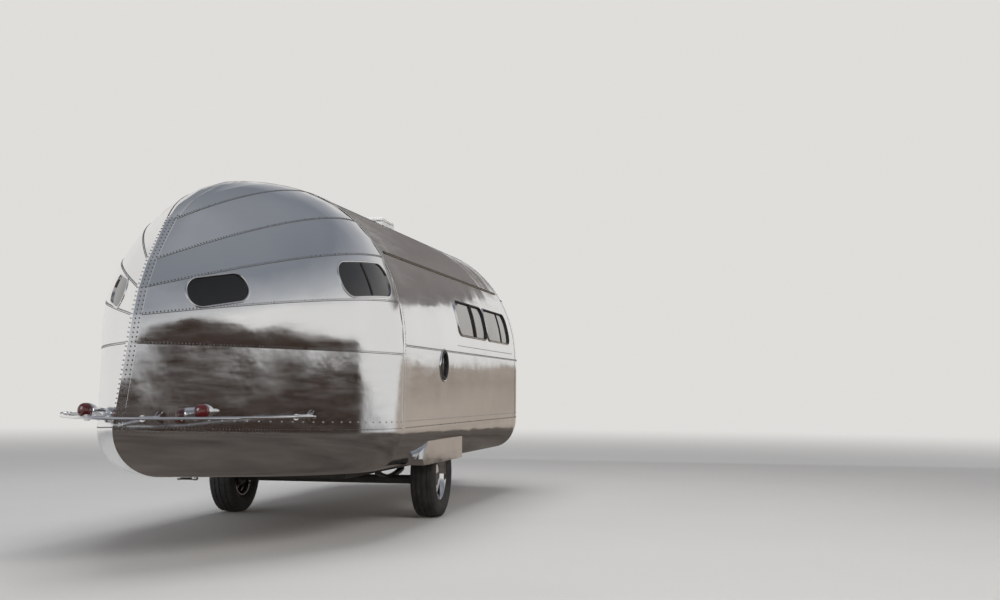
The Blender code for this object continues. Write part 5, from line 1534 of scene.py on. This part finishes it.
FLANGE_UNDER, FLANGE_THICK, FLANGE_RADIUS = 0.001, 0.007, 0.034
NECK_OUT, NECK_RADIUS = 0.022, 0.018
FLANGE_BOLT_RING, FLANGE_BOLT_TALL, SMALL_BOLT_RADIUS = 0.026, 0.004, 0.0055


def add_arm_flanges():
    """A round flange with three bolts where each of the bumper's arms meets the body."""
    flanges, bolts = Strips(), Domes()
    for share, _ in BUMPER_ARMS:
        point, normal = tail_spot(ARM_SPREAD_SHARE * BUMPER_HALF * share, BUMPER_Z)
        for sign in (-1, 1):
            at, out = mirrored(point, sign), mirrored(normal, sign)
            side = out.orthogonal().normalized()
            face = at + out * FLANGE_THICK
            flanges.rod([at - out * FLANGE_UNDER, face], side, FLANGE_RADIUS, 28)
            flanges.rod([face, at + out * NECK_OUT], side, NECK_RADIUS, 20)
            for k in range(3):
                turn = Matrix.Rotation(math.radians(120 * k + 90), 3, out)
                bolts.add([(face + turn @ side * FLANGE_BOLT_RING, out)], SMALL_BOLT_RADIUS,
                          FLANGE_BOLT_TALL)
    flanges.build("bumper_flanges", "chrome", "chrome")
    bolts.build("bumper_flange_bolts", "chrome", "chrome")


RAIL_Z, RAIL_BACK, RAIL_FRONT, RAIL_STEPS = 2.023, -1.40, 2.75, 40
RAIL_SECTION = ((-0.010, -0.0005), (-0.010, 0.004), (-0.004, 0.0055), (0.006, 0.0045), (0.010, 0.006),
                (0.0115, 0.0045), (0.0115, -0.0005))
LIP_SECTION = ((0.0095, 0.0046), (0.0095, 0.0062), (0.0115, 0.0062), (0.0122, 0.0046))


def add_drip_rails():
    path = level(body_rise(RAIL_Z), body_share(RAIL_BACK), body_share(RAIL_FRONT), RAIL_STEPS)
    for side, sign in SIDES:
        points, normals = on_surface(body_surface, path, WHOLE, sign)
        over = points[RAIL_STEPS // 2] + UP
        rail, lip = Strips(), Strips()
        rail.add(points, normals, RAIL_SECTION, centre=over)
        lip.add(points, normals, LIP_SECTION, centre=over)
        rail.build("drip_rail_" + side, "rail", "dark_trim", "caravan", "awning_rail_" + side)
        lip.build("drip_lip_" + side, "brass", "dark_trim")


SLIDER_BAR_SECTION = ((-0.008, -0.0055), (-0.007, 0.0), (0.007, 0.0), (0.008, -0.0055))
BLIND_GROWS, BLIND_SHARE = (-0.024, -0.027), 0.97


def add_sliders():
    """The bar between the panes of each slider window, with a blind behind it."""
    surface, loop, limits = window_loops(0.004)["window_slider"]
    (low_u, high_u), middle_v = span(loop, 0), sum(v for _, v in loop) / len(loop)
    path = line((low_u + 0.004, middle_v - 0.003), (high_u - 0.004, middle_v + 0.006), 12)
    for side, sign in SIDES:
        bar = Strips()
        bar.add(*on_surface(surface, path, limits, sign), SLIDER_BAR_SECTION)
        bar.build("slider_bar_" + side, "rubber", "dark_trim")
        blind = Skin(*BLIND_GROWS)
        blind.add(surface, pane_layout(loop, 6, grown_loop(loop, BLIND_SHARE)), limits, sign)
        blind.build("slider_blind_" + side, ("blind",) * 3, "dark_trim")


# Columns: window, how far ahead of the axle the divider stands, half its width, how far it stands out
SIDE_DIVIDERS = (("window_side_rear", 0.978, 0.014, 0.009), ("window_side_front", 2.208, 0.006, 0.002))
DIVIDER_BEVEL = 0.003


def add_side_dividers():
    """The upright bar between the two panes of each side window."""
    loops = window_loops(0.0035)
    for name, along, half, out in SIDE_DIVIDERS:
        surface, loop, limits = loops[name]
        (low_u, high_u), v = span(loop, 0), body_share(along)
        inner, shoulder = half - DIVIDER_BEVEL, out - DIVIDER_BEVEL
        section = ((-half, -GLASS_SINK), (-half, shoulder), (-inner, out), (inner, out),
                   (half, shoulder), (half, -GLASS_SINK))
        for side, sign in SIDES:
            bar = Strips()
            bar.add(*on_surface(surface, line((low_u, v), (high_u, v), 12), limits, sign), section)
            bar.build("divider_{}_{}".format(name, side), "rubber", "dark_trim")


HINGE_HEIGHT_SHARES = (0.14, 0.50, 0.86)
HINGE_LINE_Z = BELT_Z - 0.1
KNUCKLE_RADIUS, KNUCKLE_TALL, KNUCKLE_OUT, LUG_START = 0.009, 0.036, 0.0105, 0.006
PLATE_SECTION = ((-0.016, -0.0005), (-0.016, 0.0026), (0.016, 0.0026), (0.016, -0.0005))
LUG_SECTION = ((-0.016, -0.003), (-0.016, 0.003), (0.016, 0.003), (0.016, -0.003))
PLATE_BOLT_OUT, PLATE_BOLT_TALL = 0.0025, 0.003
# Columns: body, piece, knuckles by place, where the plate starts and ends beyond the hinge line
HINGE_HALVES = (("caravan", "jamb_hinges", (-1, 1), (0.005, 0.062)),
                ("door", "leaf_hinges", (0,), (-DOOR_GAP - 0.005, -0.066)))


def nose_path(flat, height):
    """(points, normals) on the nose's left side for (y, z) spots near a height."""
    loop = onto_surface(nose_surface, FRONT_PLANE, flat, (stem_rise(height), NEAR_STEM), WHOLE)
    return on_surface(nose_surface, loop, WHOLE)


def add_door_hinges():
    """Three hinges: a knuckle of the leaf between two of the jamb, each on a bolted plate."""
    hinge_x = nose_path([(DOOR_HALF, HINGE_LINE_Z)], HINGE_LINE_Z)[0][0].x + KNUCKLE_OUT
    for body, name, places, (near, far) in HINGE_HALVES:
        metal, bolts = Strips(), Domes()
        for share in HINGE_HEIGHT_SHARES:
            middle = DOOR_LOW_Z + (DOOR_TOP_Z - DOOR_LOW_Z) * share
            for place in places:
                z = middle + place * (KNUCKLE_TALL + SEAT_GAP)
                pin = Vector((hinge_x, DOOR_HALF, z))
                half = UP * KNUCKLE_TALL / 2
                metal.rod([pin - half, pin + half], Vector((1, 0, 0)), KNUCKLE_RADIUS, 16)
                points, normals = nose_path(
                    [(DOOR_HALF + near + (far - near) * i / 4, z) for i in range(5)], z)
                metal.add(points, normals, PLATE_SECTION)
                along = (points[1] - pin).normalized()
                metal.add([pin + along * LUG_START, points[1]], [along.cross(UP).normalized()] * 2,
                          LUG_SECTION)
                bolts.add([(points[3] + normals[3] * PLATE_BOLT_OUT, normals[3])], SMALL_BOLT_RADIUS,
                          PLATE_BOLT_TALL)
        metal.build(name, "chrome", "chrome", body)
        bolts.build(name + "_bolts", "rivet", "chrome", body)


DRAIN_AHEAD, DRAIN_OUT, DRAIN_DROP, DRAIN_HALF_LONG = -1.74, 0.50, 0.062, 0.045
DRAIN_STEM_SHARE, DRAIN_STEM_IN, DRAIN_STEM_RADIUS = 0.55, 0.004, 0.014
DRAIN_RADIUS, DRAIN_CAP_RADIUS = 0.013, 0.016
# Columns: how far past the pipe's end, share of the cap's radius
DRAIN_CAP_RINGS = ((-0.006, 0.8), (0.0, 0.95), (0.004, 1.0), (0.026, 1.0), (0.032, 0.7))


def add_drain():
    """The waste drain under the hull's left rear: a dark pipe on two stems, with bright caps."""
    pipe, caps = Strips(), Strips()
    middle = Vector((ahead(DRAIN_AHEAD), DRAIN_OUT, HULL_Z - DRAIN_DROP))
    half = ACROSS * DRAIN_HALF_LONG
    for sign in (-1, 1):
        foot = middle + half * DRAIN_STEM_SHARE * sign
        pipe.rod([foot, foot + UP * (DRAIN_DROP + DRAIN_STEM_IN)], ACROSS, DRAIN_STEM_RADIUS, 16)
        caps.rod([middle + ACROSS * sign * (DRAIN_HALF_LONG + reach) for reach, _ in DRAIN_CAP_RINGS],
                 UP, DRAIN_CAP_RADIUS, 20, [share for _, share in DRAIN_CAP_RINGS])
    pipe.rod([middle - half, middle + half], UP, DRAIN_RADIUS, 16)
    pipe.build("drain_pipe", "paint", "frame_paint")
    caps.build("drain_caps", "chrome", "chrome")


def dress(finish, *names):
    """Gives solids their finish in place of the frame's plain one."""
    for name in names:
        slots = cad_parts[name].data.materials
        slots.clear()
        slots.append(FINISHES[finish])


def main():
    set_stage()
    make_finishes()
    add_body()
    add_hull()
    add_panes()
    add_seams()
    add_bands()
    for side, sign in SIDES:
        add_wheel(side, sign)
    add_lamps()
    add_bumper()
    add_drip_rails()
    add_sliders()
    add_side_dividers()
    add_door_hinges()
    add_arm_flanges()
    add_drain()
    dress("metal", "wheel_fairing_left", "wheel_fairing_right")
    dress("chrome", "door_handle")
    dress("paint", "axle", "chassis_frame")
    dress("zinc", "tongue_jack", "tow_coupler")
    dress("vent", "vent_frame", "vent_lid")
    dress("boards", "floor_deck")


main()
